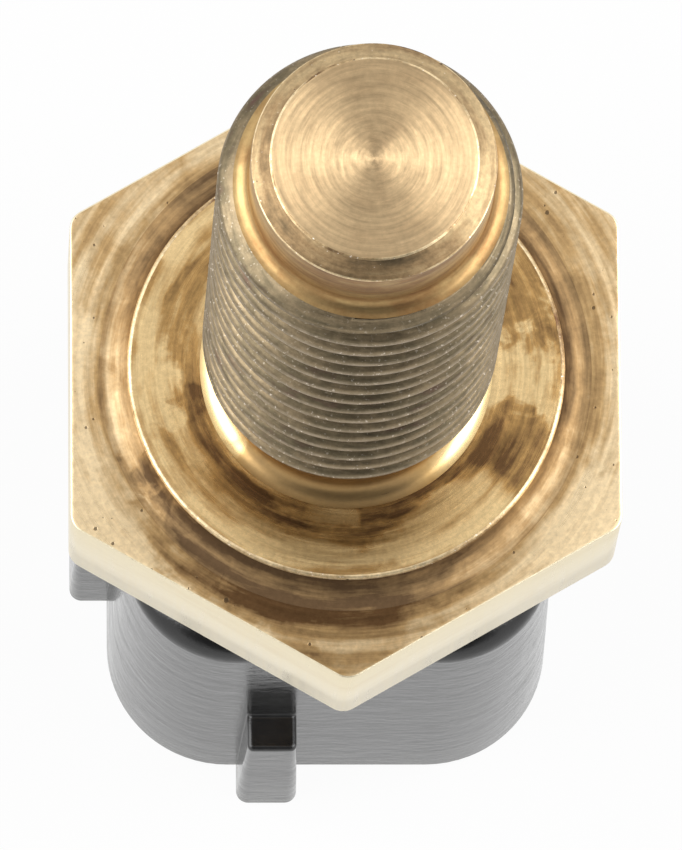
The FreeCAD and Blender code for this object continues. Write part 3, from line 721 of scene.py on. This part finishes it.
class HelicalThread(GrowingTree):
    """Lays a grid round the shank and along the helix, from some turns before the first crest."""

    TURNS_BEFORE = 2.0

    def cut(self, corner_span: float) -> bpy.types.Mesh:
        """Places the grid's points and grows the threaded skin.

        Args:
            corner_span: Degrees of closer columns at each side of a corner.

        Returns:
            The skin between the relief and the pilot.
        """
        given, maths = self.given, self.graph.math
        sector = given["Corner Steps"] * 2.0 + given["Flat Steps"]
        columns = sector * 6.0 + 1.0
        rows = given["Rows"] + 1.0
        grid = self.graph.value("GeometryNodeMeshGrid", {"Vertices X": columns, "Vertices Y": rows})
        index = self.graph.value("GeometryNodeInputIndex")
        column = maths("FLOOR", (index + 0.5) / rows)
        row = index - column * rows
        heading = self.heading(column, sector, corner_span)
        phase = (row + 0.5) / given["Rows Per Turn"]
        off_crest = abs(phase - maths("ROUND", phase))
        turned = (heading - given["Crest Heading"]) / 360.0
        height = given["First Crest"] + given["Pitch"] * (phase - self.TURNS_BEFORE + turned)
        height = maths("MINIMUM", maths("MAXIMUM", height, given["Bottom"]), given["Top"])
        fall = off_crest * given["Pitch"] - given["Crest Flat"] * 0.5
        fall = maths("MAXIMUM", fall, 0.0) * math.sqrt(3.0)
        radius = given["Crest Radius"] - maths("MINIMUM", fall, given["Depth"])
        ends = (("Top Radius", "Run In", given["Top"] - height),
                ("Bottom Radius", "Run Out", height - given["Bottom"]))
        for start, run, above in ends:
            slope = (given["Crest Radius"] - given[start]) / given[run]
            radius = maths("MINIMUM", radius, given[start] + above * slope)
        angle = maths("RADIANS", heading)
        across, along = radius * maths("COSINE", angle), radius * maths("SINE", angle)
        place = self.graph.value("ShaderNodeCombineXYZ", {0: across, 1: along, 2: height})
        bent = self.graph.value("GeometryNodeSetPosition", {"Geometry": grid, "Position": place})
        return self.grow(self.graph.value("GeometryNodeMergeByDistance", {"Geometry": bent, "Distance": SEAM_REACH}))

    def heading(self, column: Value, sector: Value, corner_span: float) -> Value:
        """Heading of a column in degrees, with closer columns at the hexagon's corners.

        Args:
            column: The column's number.
            sector: Columns in a sixth of a turn.
            corner_span: Degrees of closer columns at each side of a corner.

        Returns:
            The heading.
        """
        given, maths = self.given, self.graph.math
        sixth = maths("FLOOR", (column + 0.5) / sector)
        step = column - sixth * sector
        past = step - given["Corner Steps"]
        before = maths("MINIMUM", step, given["Corner Steps"])
        between = maths("MINIMUM", maths("MAXIMUM", past, 0.0), given["Flat Steps"])
        after = maths("MAXIMUM", past - given["Flat Steps"], 0.0)
        fine = corner_span / given["Corner Steps"]
        coarse = (60.0 - 2.0 * corner_span) / given["Flat Steps"]
        turned = (before + after) * fine + between * coarse
        return sixth * 60.0 + 90.0 + turned


@dataclass(frozen=True)
class Ring:
    """One closed line round the axis: a circle, or a hexagon with round corners."""

    radius: float
    height: float
    corner: Optional[float] = None

    def reach(self, angle: float) -> float:
        """Distance from the axis.

        Args:
            angle: Heading in degrees from +X.

        Returns:
            The radius there in millimetres.
        """
        if self.corner is None:
            return self.radius
        off_flat = math.radians(min(angle % 60.0, 60.0 - angle % 60.0))
        if self.radius * math.tan(off_flat) <= (self.radius - self.corner) * math.tan(math.pi / 6):
            return self.radius / math.cos(off_flat)
        middle = (self.radius - self.corner) / math.cos(math.pi / 6)
        off_corner = math.pi / 6 - off_flat
        return middle * math.cos(off_corner) + math.sqrt(self.corner ** 2 - (middle * math.sin(off_corner)) ** 2)


Section = List[Tuple[Zone, List[Ring]]]


@dataclass
class BrassBody:
    """Hexagon, washer collar, threaded shank, pilot, tip and the bore behind them, as one turned piece."""

    hex_flat: float = 11.0
    hex_corner: float = 0.8
    hex_base: float = 20.5
    hex_top: float = 26.5
    hex_edge: float = 0.06
    collar_radius: float = 8.75
    collar_foot: float = 9.85
    collar_top: float = 27.35
    collar_hollow: float = 1.0
    collar_edge: float = 0.17
    collar_land: float = 1.6
    relief_radius: float = 4.95
    relief_fillet: float = 0.9
    relief_top: float = 31.05
    thread_base: float = 31.95
    thread_top: float = 54.61
    crest_radius: float = 5.85
    pitch: float = 1.5
    depth: float = 0.92
    crest_flat: float = 0.19
    first_crest: float = 32.26
    crest_heading: float = 262.0
    pilot_radius: float = 4.66
    pilot_fillet: float = 0.6
    pilot_base: float = 55.8
    pilot_shoulder: float = 56.7
    pilot_top: float = 58.5
    pilot_edge: float = 0.05
    tip_radius: float = 3.95
    tip_height: float = 59.05
    tip_edge: float = 0.06
    skirt_radius: float = 9.2
    skirt_fillet: float = 0.15
    skirt_end: float = 18.2
    lip_radius: float = 7.4
    lip_top: float = 18.8
    lip_round: float = 0.4
    spigot_bore: float = 8.2
    gland_top: float = 22.0
    chamber_radius: float = 6.5
    chamber_top: float = 26.0
    bore_radius: float = 3.6
    bore_end: float = 57.55
    corner_steps: int = 6
    corner_span: float = 2.6
    flat_steps: int = 26
    rows_per_turn: int = 12
    turns: float = 18.5

    def headings(self) -> List[float]:
        """Headings of the columns in degrees, closer together at the hexagon's corners."""
        columns = range(2 * self.corner_steps + self.flat_steps)
        return [90.0 + 60.0 * sector + self.turn_at(step) for sector in range(6) for step in columns]

    def turn_at(self, step: int) -> float:
        """Degrees from a corner of the hexagon to a column.

        Args:
            step: The column's number after the corner.

        Returns:
            The angle in degrees.
        """
        fine = self.corner_span / self.corner_steps
        coarse = (60.0 - 2.0 * self.corner_span) / self.flat_steps
        before = min(step, self.corner_steps)
        between = min(max(step - self.corner_steps, 0), self.flat_steps)
        after = max(step - self.corner_steps - self.flat_steps, 0)
        return fine * (before + after) + coarse * between

    @staticmethod
    def rounding(centre: Tuple[float, float], radius: float, start: float, finish: float,
                 steps: int) -> List[Ring]:
        """Rings along an arc in the section.

        Args:
            centre: The arc's middle as radius and height.
            radius: The arc's radius.
            start: First angle in degrees.
            finish: Last angle in degrees.
            steps: Number of spans.

        Returns:
            The rings in order.
        """
        angles = [math.radians(start + (finish - start) * step / steps) for step in range(steps + 1)]
        return [Ring(centre[0] + radius * math.cos(angle), centre[1] + radius * math.sin(angle)) for angle in angles]

    def hollow_line(self) -> List[Ring]:
        """The collar's hollow side from its edge down to the hexagon.

        Returns:
            Rings in order.
        """
        top = Vector((self.collar_radius, self.collar_top))
        foot = Vector((self.collar_foot, self.hex_top))
        chord = foot - top
        reach = math.sqrt(self.collar_hollow ** 2 - chord.length_squared / 4)
        centre = (top + foot) / 2 + Vector((-chord.y, chord.x)).normalized() * reach
        start = math.degrees(math.atan2(top.y - centre.y, top.x - centre.x))
        finish = math.degrees(math.atan2(foot.y - centre.y, foot.x - centre.x))
        return self.rounding((centre.x, centre.y), self.collar_hollow, start % 360.0, finish % 360.0, 9)

    def upper_line(self) -> Section:
        """The section from the tip's middle down to the thread.

        Returns:
            Rings in order, grouped by zone.
        """
        edge, soft = self.tip_edge, self.pilot_edge
        tip = [Ring(self.tip_radius * share, self.tip_height) for share in (0.08, 0.3, 0.55, 0.8, 0.95)]
        tip.append(Ring(self.tip_radius - edge, self.tip_height))
        rim = [Ring(self.tip_radius - edge * 0.3, self.tip_height - edge * 0.25),
               Ring(self.tip_radius + edge * 0.4, self.tip_height - edge)]
        chamfer = [Ring(self.pilot_radius - soft, self.pilot_top + soft * 0.9)]
        brow = [Ring(self.pilot_radius - soft * 0.2, self.pilot_top + soft * 0.2),
                Ring(self.pilot_radius, self.pilot_top - soft)]
        fillet = self.pilot_fillet
        middle = (self.pilot_radius + fillet, self.pilot_base)
        pilot = [Ring(self.pilot_radius, self.pilot_shoulder)]
        pilot += self.rounding(middle, fillet, 180.0, 270.0, 8)
        return [(Zone.TIP, tip), (Zone.EDGE, rim), (Zone.CHAMFER, chamfer), (Zone.EDGE, brow), (Zone.PILOT, pilot)]

    def lower_line(self) -> Section:
        """The section from below the thread, over the collar and hexagon, into the bore.

        Returns:
            Rings in order, grouped by zone.
        """
        fillet = self.relief_fillet
        edge, soft = self.hex_edge, self.collar_edge
        relief = [Ring(self.relief_radius, self.relief_top)]
        relief += self.rounding((self.relief_radius + fillet, self.collar_top + fillet), fillet, 180.0, 270.0, 8)
        inner = self.collar_radius - self.collar_land
        collar = [Ring(inner, self.collar_top), Ring(self.collar_radius - soft, self.collar_top)]
        nose = [Ring(self.collar_radius - soft * (1.0 - math.sin(turn)),
                     self.collar_top - soft * (1.0 - math.cos(turn))) for turn in (0.35, 0.7, 1.05, 1.4)]
        hollow = self.hollow_line()[2:]
        corner, flat = self.hex_corner, self.hex_flat
        face = [Ring(flat - 2.6 * edge, self.hex_top, corner - 0.5 * edge), Ring(flat - edge, self.hex_top, corner)]
        rounded = [(edge, 0.0), (edge * 0.3, edge * 0.3), (0.0, edge)]
        flats = [Ring(flat - inward, self.hex_top - down, corner) for inward, down in rounded[1:]]
        flats += [Ring(flat - inward, self.hex_base + down, corner) for inward, down in reversed(rounded)]
        skirt = [Ring(self.skirt_radius + self.skirt_fillet, self.hex_base),
                 Ring(self.skirt_radius, self.hex_base - self.skirt_fillet)]
        lip = (self.skirt_radius - self.lip_round, self.skirt_end + self.lip_round)
        skirt += self.rounding(lip, self.lip_round, 0.0, -90.0, 6)
        bore = [Ring(self.lip_radius, self.skirt_end), Ring(self.lip_radius, self.lip_top),
                Ring(self.spigot_bore, self.lip_top), Ring(self.spigot_bore, self.gland_top),
                Ring(self.chamber_radius, self.gland_top), Ring(self.chamber_radius, self.chamber_top),
                Ring(self.bore_radius, self.chamber_top), Ring(self.bore_radius, self.bore_end)]
        return [(Zone.RELIEF, relief), (Zone.COLLAR, collar), (Zone.EDGE, nose), (Zone.HOLLOW, hollow),
                (Zone.FACE, face), (Zone.FLATS, flats), (Zone.SKIRT, skirt), (Zone.BORE, bore)]

    def skin(self, mesh: bmesh.types.BMesh, line: Section, first_pole: Optional[float],
             last_pole: Optional[float]) -> None:
        """Spans a row of rings with faces.

        Args:
            mesh: The mesh that takes them.
            line: Rings in order, grouped by the zone of the faces before each.
            first_pole: Height of a point on the axis before the first ring.
            last_pole: Height of a point on the axis after the last ring.
        """
        headings = self.headings()
        before = None
        pole = None if first_pole is None else mesh.verts.new((0.0, 0.0, first_pole * MM))
        for zone, rings in line:
            for ring in rings:
                loop = [self.corner_at(mesh, ring, heading) for heading in headings]
                for index in range(len(loop)):
                    after = (index + 1) % len(loop)
                    if before is not None:
                        face = mesh.faces.new((before[index], loop[index], loop[after], before[after]))
                    elif pole is not None:
                        face = mesh.faces.new((pole, loop[index], loop[after]))
                    else:
                        continue
                    face.material_index = zone.value
                before = loop
        if last_pole is not None:
            pole = mesh.verts.new((0.0, 0.0, last_pole * MM))
            for index in range(len(before)):
                face = mesh.faces.new((before[index], pole, before[(index + 1) % len(before)]))
                face.material_index = line[-1][0].value

    @staticmethod
    def corner_at(mesh: bmesh.types.BMesh, ring: Ring, heading: float) -> bmesh.types.BMVert:
        """Makes one vertex of a ring.

        Args:
            mesh: The mesh that takes it.
            ring: The ring.
            heading: The vertex's heading in degrees.

        Returns:
            The vertex.
        """
        reach = ring.reach(heading) * MM
        angle = math.radians(heading)
        return mesh.verts.new((reach * math.cos(angle), reach * math.sin(angle), ring.height * MM))

    def thread(self, material: bpy.types.Material) -> bpy.types.Mesh:
        """Cuts the helical thread.

        Args:
            material: The finish of its faces.

        Returns:
            A plain mesh of the threaded skin.
        """
        sizes = {"Pitch": self.pitch * MM, "Crest Radius": self.crest_radius * MM, "Depth": self.depth * MM,
                 "Crest Flat": self.crest_flat * MM, "First Crest": self.first_crest * MM,
                 "Crest Heading": self.crest_heading, "Bottom": self.relief_top * MM,
                 "Bottom Radius": self.relief_radius * MM, "Top": (self.pilot_base - self.pilot_fillet) * MM,
                 "Top Radius": (self.pilot_radius + self.pilot_fillet) * MM,
                 "Run In": (self.pilot_base - self.pilot_fillet - self.thread_top) * MM,
                 "Run Out": self.thread_base * MM - self.relief_top * MM}
        counts = {"Rows Per Turn": self.rows_per_turn, "Rows": int(self.rows_per_turn * self.turns),
                  "Corner Steps": self.corner_steps, "Flat Steps": self.flat_steps}
        return HelicalThread("helical_thread", sizes, counts, material).cut(self.corner_span)

    def build(self) -> bpy.types.Object:
        """Makes the brass body as one closed mesh and dresses it.

        Returns:
            The object, riding on the switch's body.
        """
        materials = [BRASS_FINISHES[zone].material() for zone in Zone]
        cut = self.thread(materials[Zone.THREAD.value])
        mesh = bmesh.new()
        mesh.from_mesh(cut)
        for face in mesh.faces:
            face.material_index = Zone.THREAD.value
        self.skin(mesh, self.upper_line(), self.tip_height, None)
        self.skin(mesh, self.lower_line(), None, self.bore_end)
        bmesh.ops.remove_doubles(mesh, verts=mesh.verts, dist=WELD_REACH)
        bmesh.ops.dissolve_degenerate(mesh, edges=mesh.edges, dist=WELD_REACH / 2)
        bmesh.ops.recalc_face_normals(mesh, faces=mesh.faces)
        self.set_edges(mesh)
        loose = sum(1 for edge in mesh.edges if len(edge.link_faces) != 2)
        LOG.info("brass body: %d faces, %d open edges", len(mesh.faces), loose)
        data = bpy.data.meshes.new("turned_brass_body")
        mesh.to_mesh(data)
        mesh.free()
        bpy.data.meshes.remove(cut)
        for material in materials:
            data.materials.append(material)
        body = link("turned_brass_body", data)
        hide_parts("brass_body")
        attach(body, "switch_body")
        return body

    @staticmethod
    def set_edges(mesh: bmesh.types.BMesh) -> None:
        """Smooths all faces and keeps the turned corners sharp, apart from the thread's.

        Args:
            mesh: The whole body's mesh.
        """
        limit = math.radians(SHARP_FROM)
        for face in mesh.faces:
            face.smooth = True
        for edge in mesh.edges:
            if len(edge.link_faces) != 2:
                continue
            threaded = all(face.material_index == Zone.THREAD.value for face in edge.link_faces)
            edge.smooth = threaded or edge.calc_face_angle(0.0) < limit


def dress(name: str, material: bpy.types.Material, nodes: Pieces) -> None:
    """Gives a carried-over piece its finish.

    Args:
        name: The piece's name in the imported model.
        material: The finish.
        nodes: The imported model's pieces by name.
    """
    piece = nodes[name]
    if not piece.material_slots:
        piece.data.materials.append(material)
    for slot in piece.material_slots:
        slot.material = material
    LOG.info("%s: %s", name, material.name)


@dataclass
class WoundSpring:
    """The return spring, wound from round wire and kept at one length, though in the switch it shortens as the rod
    comes down (sizes in mm).
    """

    coil_radius: float = 1.5
    wire_radius: float = 0.14
    turns: float = 4.0
    seat: float = 21.6
    bridge: float = 24.3
    end_gap: float = 0.025
    travel: float = 0.5
    steps_per_turn: int = 48
    sides: int = 12

    def wind(self, steel: bpy.types.Material) -> bpy.types.Mesh:
        """Sweeps the wire's section along the coil.

        Args:
            steel: The finish of the wire.

        Returns:
            A plain closed mesh.
        """
        low = self.seat + self.end_gap + self.wire_radius
        high = self.bridge - self.end_gap - self.wire_radius
        sizes = {"Coil Radius": self.coil_radius * MM, "Wire Radius": self.wire_radius * MM,
                 "Rise": (high - low) * MM, "Base": low * MM, "Turns": self.turns}
        counts = {"Steps Per Turn": self.steps_per_turn, "Sides": self.sides}
        tree = GrowingTree("wound_wire", sizes, counts, steel)
        given, value = tree.given, tree.graph.value
        coil = value("GeometryNodeCurveSpiral", {
            "Resolution": given["Steps Per Turn"], "Rotations": given["Turns"], "Start Radius": given["Coil Radius"],
            "End Radius": given["Coil Radius"], "Height": given["Rise"], "Reverse": True})
        wire = value("GeometryNodeCurvePrimitiveCircle", {
            "Resolution": given["Sides"], "Radius": given["Wire Radius"]})
        swept = value("GeometryNodeCurveToMesh", {"Curve": coil, "Profile Curve": wire, "Fill Caps": True})
        base = value("ShaderNodeCombineXYZ", {2: given["Base"]})
        return tree.grow(value("GeometryNodeTransform", {"Geometry": swept, "Translation": base}))

    def build(self, steel: bpy.types.Material) -> bpy.types.Object:
        """Winds the spring and puts it on the switch's body.

        Args:
            steel: The finish of the wire.

        Returns:
            The object, riding on the switch's body.
        """
        data = self.wind(steel)
        data.name = "wound_return_spring"
        data.shade_smooth()
        data.set_sharp_from_angle(angle=math.radians(SHARP_FROM))
        spring = link("wound_return_spring", data)
        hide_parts("return_spring")
        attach(spring, "switch_body")
        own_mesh(spring)
        LOG.info("return spring: %d faces", len(data.polygons))
        return spring


@dataclass
class PlugSocket:
    """The moulded socket with its potting and the two blades."""

    shell: Moulded = Moulded("black_nylon", (0.006, 0.006, 0.007), (0.014, 0.014, 0.014), rough=(0.05, 0.24),
                             grain_size=0.10, grain_depth=0.002, flow=0.6, edge=0.08, density=1.56, wave_depth=0.035,
                             dust_and_sheen=((0.0, 0.40), (1.5, 0.26), (5.0, 0.11), (17.4, 0.08), (18.1, 0.0)))
    potting: Moulded = Moulded("potting_resin", (0.030, 0.028, 0.026), (0.055, 0.050, 0.046), rough=(0.25, 0.5))
    blades: SheetMetal = SheetMetal("tinned_brass", (0.62, 0.60, 0.56), (0.50, 0.46, 0.38), rough=(0.20, 0.34))

    def build(self, nodes: Pieces) -> None:
        """Dresses the socket's pieces.

        Args:
            nodes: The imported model's pieces by name.
        """
        dress("connector_housing", self.shell.material(), nodes)
        dress("blade_sealant", self.potting.material(), nodes)
        tinned = self.blades.material()
        for side in ("front", "rear"):
            dress(f"terminal_{side}", tinned, nodes)


@dataclass
class ContactSet:
    """Base plate, contacts, bridge, return spring and sleeve."""

    plate: Moulded = Moulded("phenolic", (0.20, 0.095, 0.040), (0.30, 0.15, 0.07), rough=(0.35, 0.5), flow=0.7)
    silver: SheetMetal = SheetMetal("contact_silver", (0.90, 0.89, 0.86), (0.72, 0.70, 0.66), rough=(0.12, 0.26))
    copper: SheetMetal = SheetMetal("copper_strip", (0.86, 0.46, 0.30), (0.66, 0.32, 0.20), stretch=(1.0, 0.2, 1.0))
    steel: SheetMetal = SheetMetal("spring_steel", (0.56, 0.56, 0.57), (0.42, 0.41, 0.40), stretch=(0.3, 0.3, 1.0))
    rubber: Moulded = Moulded("seal_rubber", (0.020, 0.020, 0.021), (0.034, 0.033, 0.033), rough=(0.55, 0.75))

    def build(self, nodes: Pieces) -> None:
        """Dresses the contact chamber's pieces.

        Args:
            nodes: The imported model's pieces by name.
        """
        plate, silver = self.plate.material(), self.silver.material()
        for name in ("contact_base", "spacer_sleeve", "bridge_carrier"):
            dress(name, plate, nodes)
        for side in ("front", "rear"):
            for kind in ("fixed", "moving"):
                dress(f"{kind}_contact_{side}", silver, nodes)
        dress("contact_bridge", self.copper.material(), nodes)
        steel = self.steel.material()
        for name in ("preload_washer", "disc_seat"):
            dress(name, steel, nodes)
        WoundSpring().build(steel)
        dress("housing_seal", self.rubber.material(), nodes)


@dataclass
class SnapDisc:
    """The snap disc, its rod and the rod's guide."""

    disc: SheetMetal = SheetMetal("bimetal_strip", (0.64, 0.61, 0.55), (0.50, 0.45, 0.38), stretch=(0.2, 1.0, 1.0))
    rod: Moulded = Moulded("rod_ceramic", (0.72, 0.70, 0.65), (0.64, 0.61, 0.55), rough=(0.22, 0.36))
    guide: Moulded = Moulded("guide_plastic", (0.46, 0.44, 0.38), (0.38, 0.36, 0.30), rough=(0.35, 0.5))

    def build(self, nodes: Pieces) -> None:
        """Dresses the pieces in the bore.

        Args:
            nodes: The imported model's pieces by name.
        """
        dress("bimetal_disc", self.disc.material(), nodes)
        dress("push_rod", self.rod.material(), nodes)
        dress("rod_guide", self.guide.material(), nodes)


def facing(azimuth: float, elevation: float) -> Vector:
    """Direction from the object to a camera or lamp.

    Args:
        azimuth: Degrees round from the front (-Y) towards +X.
        elevation: Degrees above the floor.

    Returns:
        A vector of length 1.
    """
    turn, lift = math.radians(azimuth), math.radians(elevation)
    return Vector((math.sin(turn) * math.cos(lift), -math.cos(turn) * math.cos(lift), math.sin(lift)))


@dataclass(frozen=True)
class Viewpoint:
    """The camera: headings in degrees, distances in millimetres."""

    azimuth: float = -8.094
    elevation: float = 75.814
    roll: float = 7.882
    distance: float = 559.32
    aside: float = 0.1817
    above: float = 2.1553
    aim_height: float = 26.5
    lens: float = 592.94
    sensor: float = 36.0
    sight: Tuple[float, float] = (10.0, 50000.0)

    def build(self) -> bpy.types.Object:
        """Places the camera.

        Returns:
            The camera object.
        """
        turn, roll = math.radians(self.azimuth), math.radians(self.roll)
        back = facing(self.azimuth, self.elevation)
        level = Vector((math.cos(turn), math.sin(turn), 0.0))
        right = level * math.cos(roll) + back.cross(level) * math.sin(roll)
        upward = back.cross(right)
        aim = Vector((0.0, 0.0, self.aim_height)) - right * self.aside - upward * self.above
        data = bpy.data.cameras.new("camera")
        data.lens = self.lens
        data.sensor_width = self.sensor
        data.clip_start, data.clip_end = (reach * MM for reach in self.sight)
        camera = link("camera", data)
        turned = Matrix((right, upward, back)).transposed().to_4x4()
        camera.matrix_world = Matrix.Translation((aim + back * self.distance) * MM) @ turned
        bpy.context.scene.camera = camera
        return camera


@dataclass(frozen=True)
class Softbox:
    """A square lamp that faces the object (angles in degrees, sizes in metres, power in watts)."""

    name: str
    azimuth: float
    elevation: float
    distance: float
    side: float
    power: float

    def build(self, target: Vector) -> None:
        """Places the lamp.

        Args:
            target: What it faces.
        """
        away = facing(self.azimuth, self.elevation)
        data = bpy.data.lights.new(self.name, "AREA")
        data.shape = "SQUARE"
        data.size = self.side
        data.energy = self.power
        lamp = link(self.name, data)
        lamp.location = target + away * self.distance
        lamp.rotation_euler = away.to_track_quat("Z", "Y").to_euler()


@dataclass
class Studio:
    """White surroundings with a soft dark side, a white floor and two softboxes (sizes in mm)."""

    fill: float = 0.15
    dark_heading: Tuple[float, float, float] = (0.0, -0.72, 0.69)
    dark_edge: Tuple[float, float] = (0.72, 0.96)
    dark_amount: float = 0.85
    overhead: float = 0.10
    floor_size: float = 3000.0
    floor_share: float = 0.95
    floor_drop: float = 0.02
    floor_paint: Colour = (0.92, 0.92, 0.92)
    shade_footprint: Tuple[float, float, float] = (8.6, 9.8, 15.0)  # reach along X, along Y and both together
    lamp_aim: float = 30.0
    lamps: Tuple[Softbox, ...] = (
        Softbox("softbox_left", -90.0, 38.0, 1.0, 0.9, 8.0),
        Softbox("softbox_right", 90.0, 38.0, 1.0, 0.9, 8.0),
    )

    def build(self) -> None:
        """Makes the surroundings, the floor and the lamps."""
        bpy.context.scene.view_settings.view_transform = "Standard"
        self.surroundings()
        self.floor()
        for lamp in self.lamps:
            lamp.build(Vector((0.0, 0.0, self.lamp_aim * MM)))

    def surroundings(self) -> None:
        """White for the camera, white with a dark side for reflections, and dim for the fill light."""
        world = bpy.data.worlds.new("surroundings")
        world.cycles.sampling_method = "NONE"
        bpy.context.scene.world = world
        graph = blank(world)
        heading = graph.values("ShaderNodeTexCoord")["Generated"]
        toward = graph.vector("DOT_PRODUCT", heading, self.dark_heading)
        dark = graph.span(toward, *self.dark_edge, 0.0, self.dark_amount, smooth=True)
        upward = graph.value("ShaderNodeSeparateXYZ", {0: heading}, output=2)
        dim = graph.span(upward, 0.80, 1.0, 0.0, self.overhead, smooth=True)
        seen = graph.math("SUBTRACT", 1.0 - dim, dark, clamp=True)
        rays = graph.values("ShaderNodeLightPath")
        mirrored = rays["Is Glossy Ray"] * seen
        direct = graph.math("MAXIMUM", rays["Is Camera Ray"], rays["Is Transmission Ray"])
        shown = graph.math("MAXIMUM", mirrored, direct)
        any_seen = graph.math("MAXIMUM", direct, rays["Is Glossy Ray"])
        strength = shown + (1.0 - any_seen) * self.fill
        light = graph.value("ShaderNodeBackground", {"Color": WHITE, "Strength": strength})
        graph.add("ShaderNodeOutputWorld", {"Surface": light})

    def floor(self) -> None:
        """A white floor that keeps the object's shadow, with no glow under the socket, where it is darker as painted
        contact shade.
        """
        half, drop = self.floor_size * MM / 2, -self.floor_drop * MM
        data = bpy.data.meshes.new("floor")
        corners = [(-half, -half, drop), (half, -half, drop), (half, half, drop), (-half, half, drop)]
        data.from_pydata(corners, [], [(0, 1, 2, 3)])
        floor = link("floor", data)
        material = bpy.data.materials.new("floor_white")
        graph = blank(material)
        paint = graph.value("ShaderNodeBsdfDiffuse", {"Color": self.floor_paint})
        glow = graph.value("ShaderNodeEmission", {"Color": WHITE, "Strength": 1.0})
        rays = graph.values("ShaderNodeLightPath")
        seen = graph.math("MAXIMUM", graph.math("MAXIMUM", rays["Is Camera Ray"], rays["Is Glossy Ray"]),
                          rays["Is Transmission Ray"])
        place = graph.values("ShaderNodeSeparateXYZ", {0: graph.values("ShaderNodeTexCoord")["Object"]})
        # Painted contact shade: under the socket the floor does not glow, so it shows only its diffuse shading and is
        # darker there.
        across, along = abs(place["X"]), abs(place["Y"])
        gaps = zip((across, along, across + along), self.shade_footprint)
        outside = [graph.math("GREATER_THAN", gap, reach * MM) for gap, reach in gaps]
        outside_shade = graph.math("MAXIMUM", graph.math("MAXIMUM", outside[0], outside[1]), outside[2])
        share = seen * outside_shade * self.floor_share
        both = graph.value("ShaderNodeMixShader", {0: share, 1: paint, 2: glow})
        graph.add("ShaderNodeOutputMaterial", {"Surface": both})
        data.materials.append(material)


def main() -> None:
    """Builds the scene in order."""
    logging.basicConfig(level=logging.INFO, format="%(name)s: %(message)s")
    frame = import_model()
    Studio().build()
    Viewpoint().build()
    nodes = frame["nodes"]
    BrassBody().build()
    for assembly in (PlugSocket(), ContactSet(), SnapDisc()):
        assembly.build(nodes)


if __name__ == "__main__":
    main()
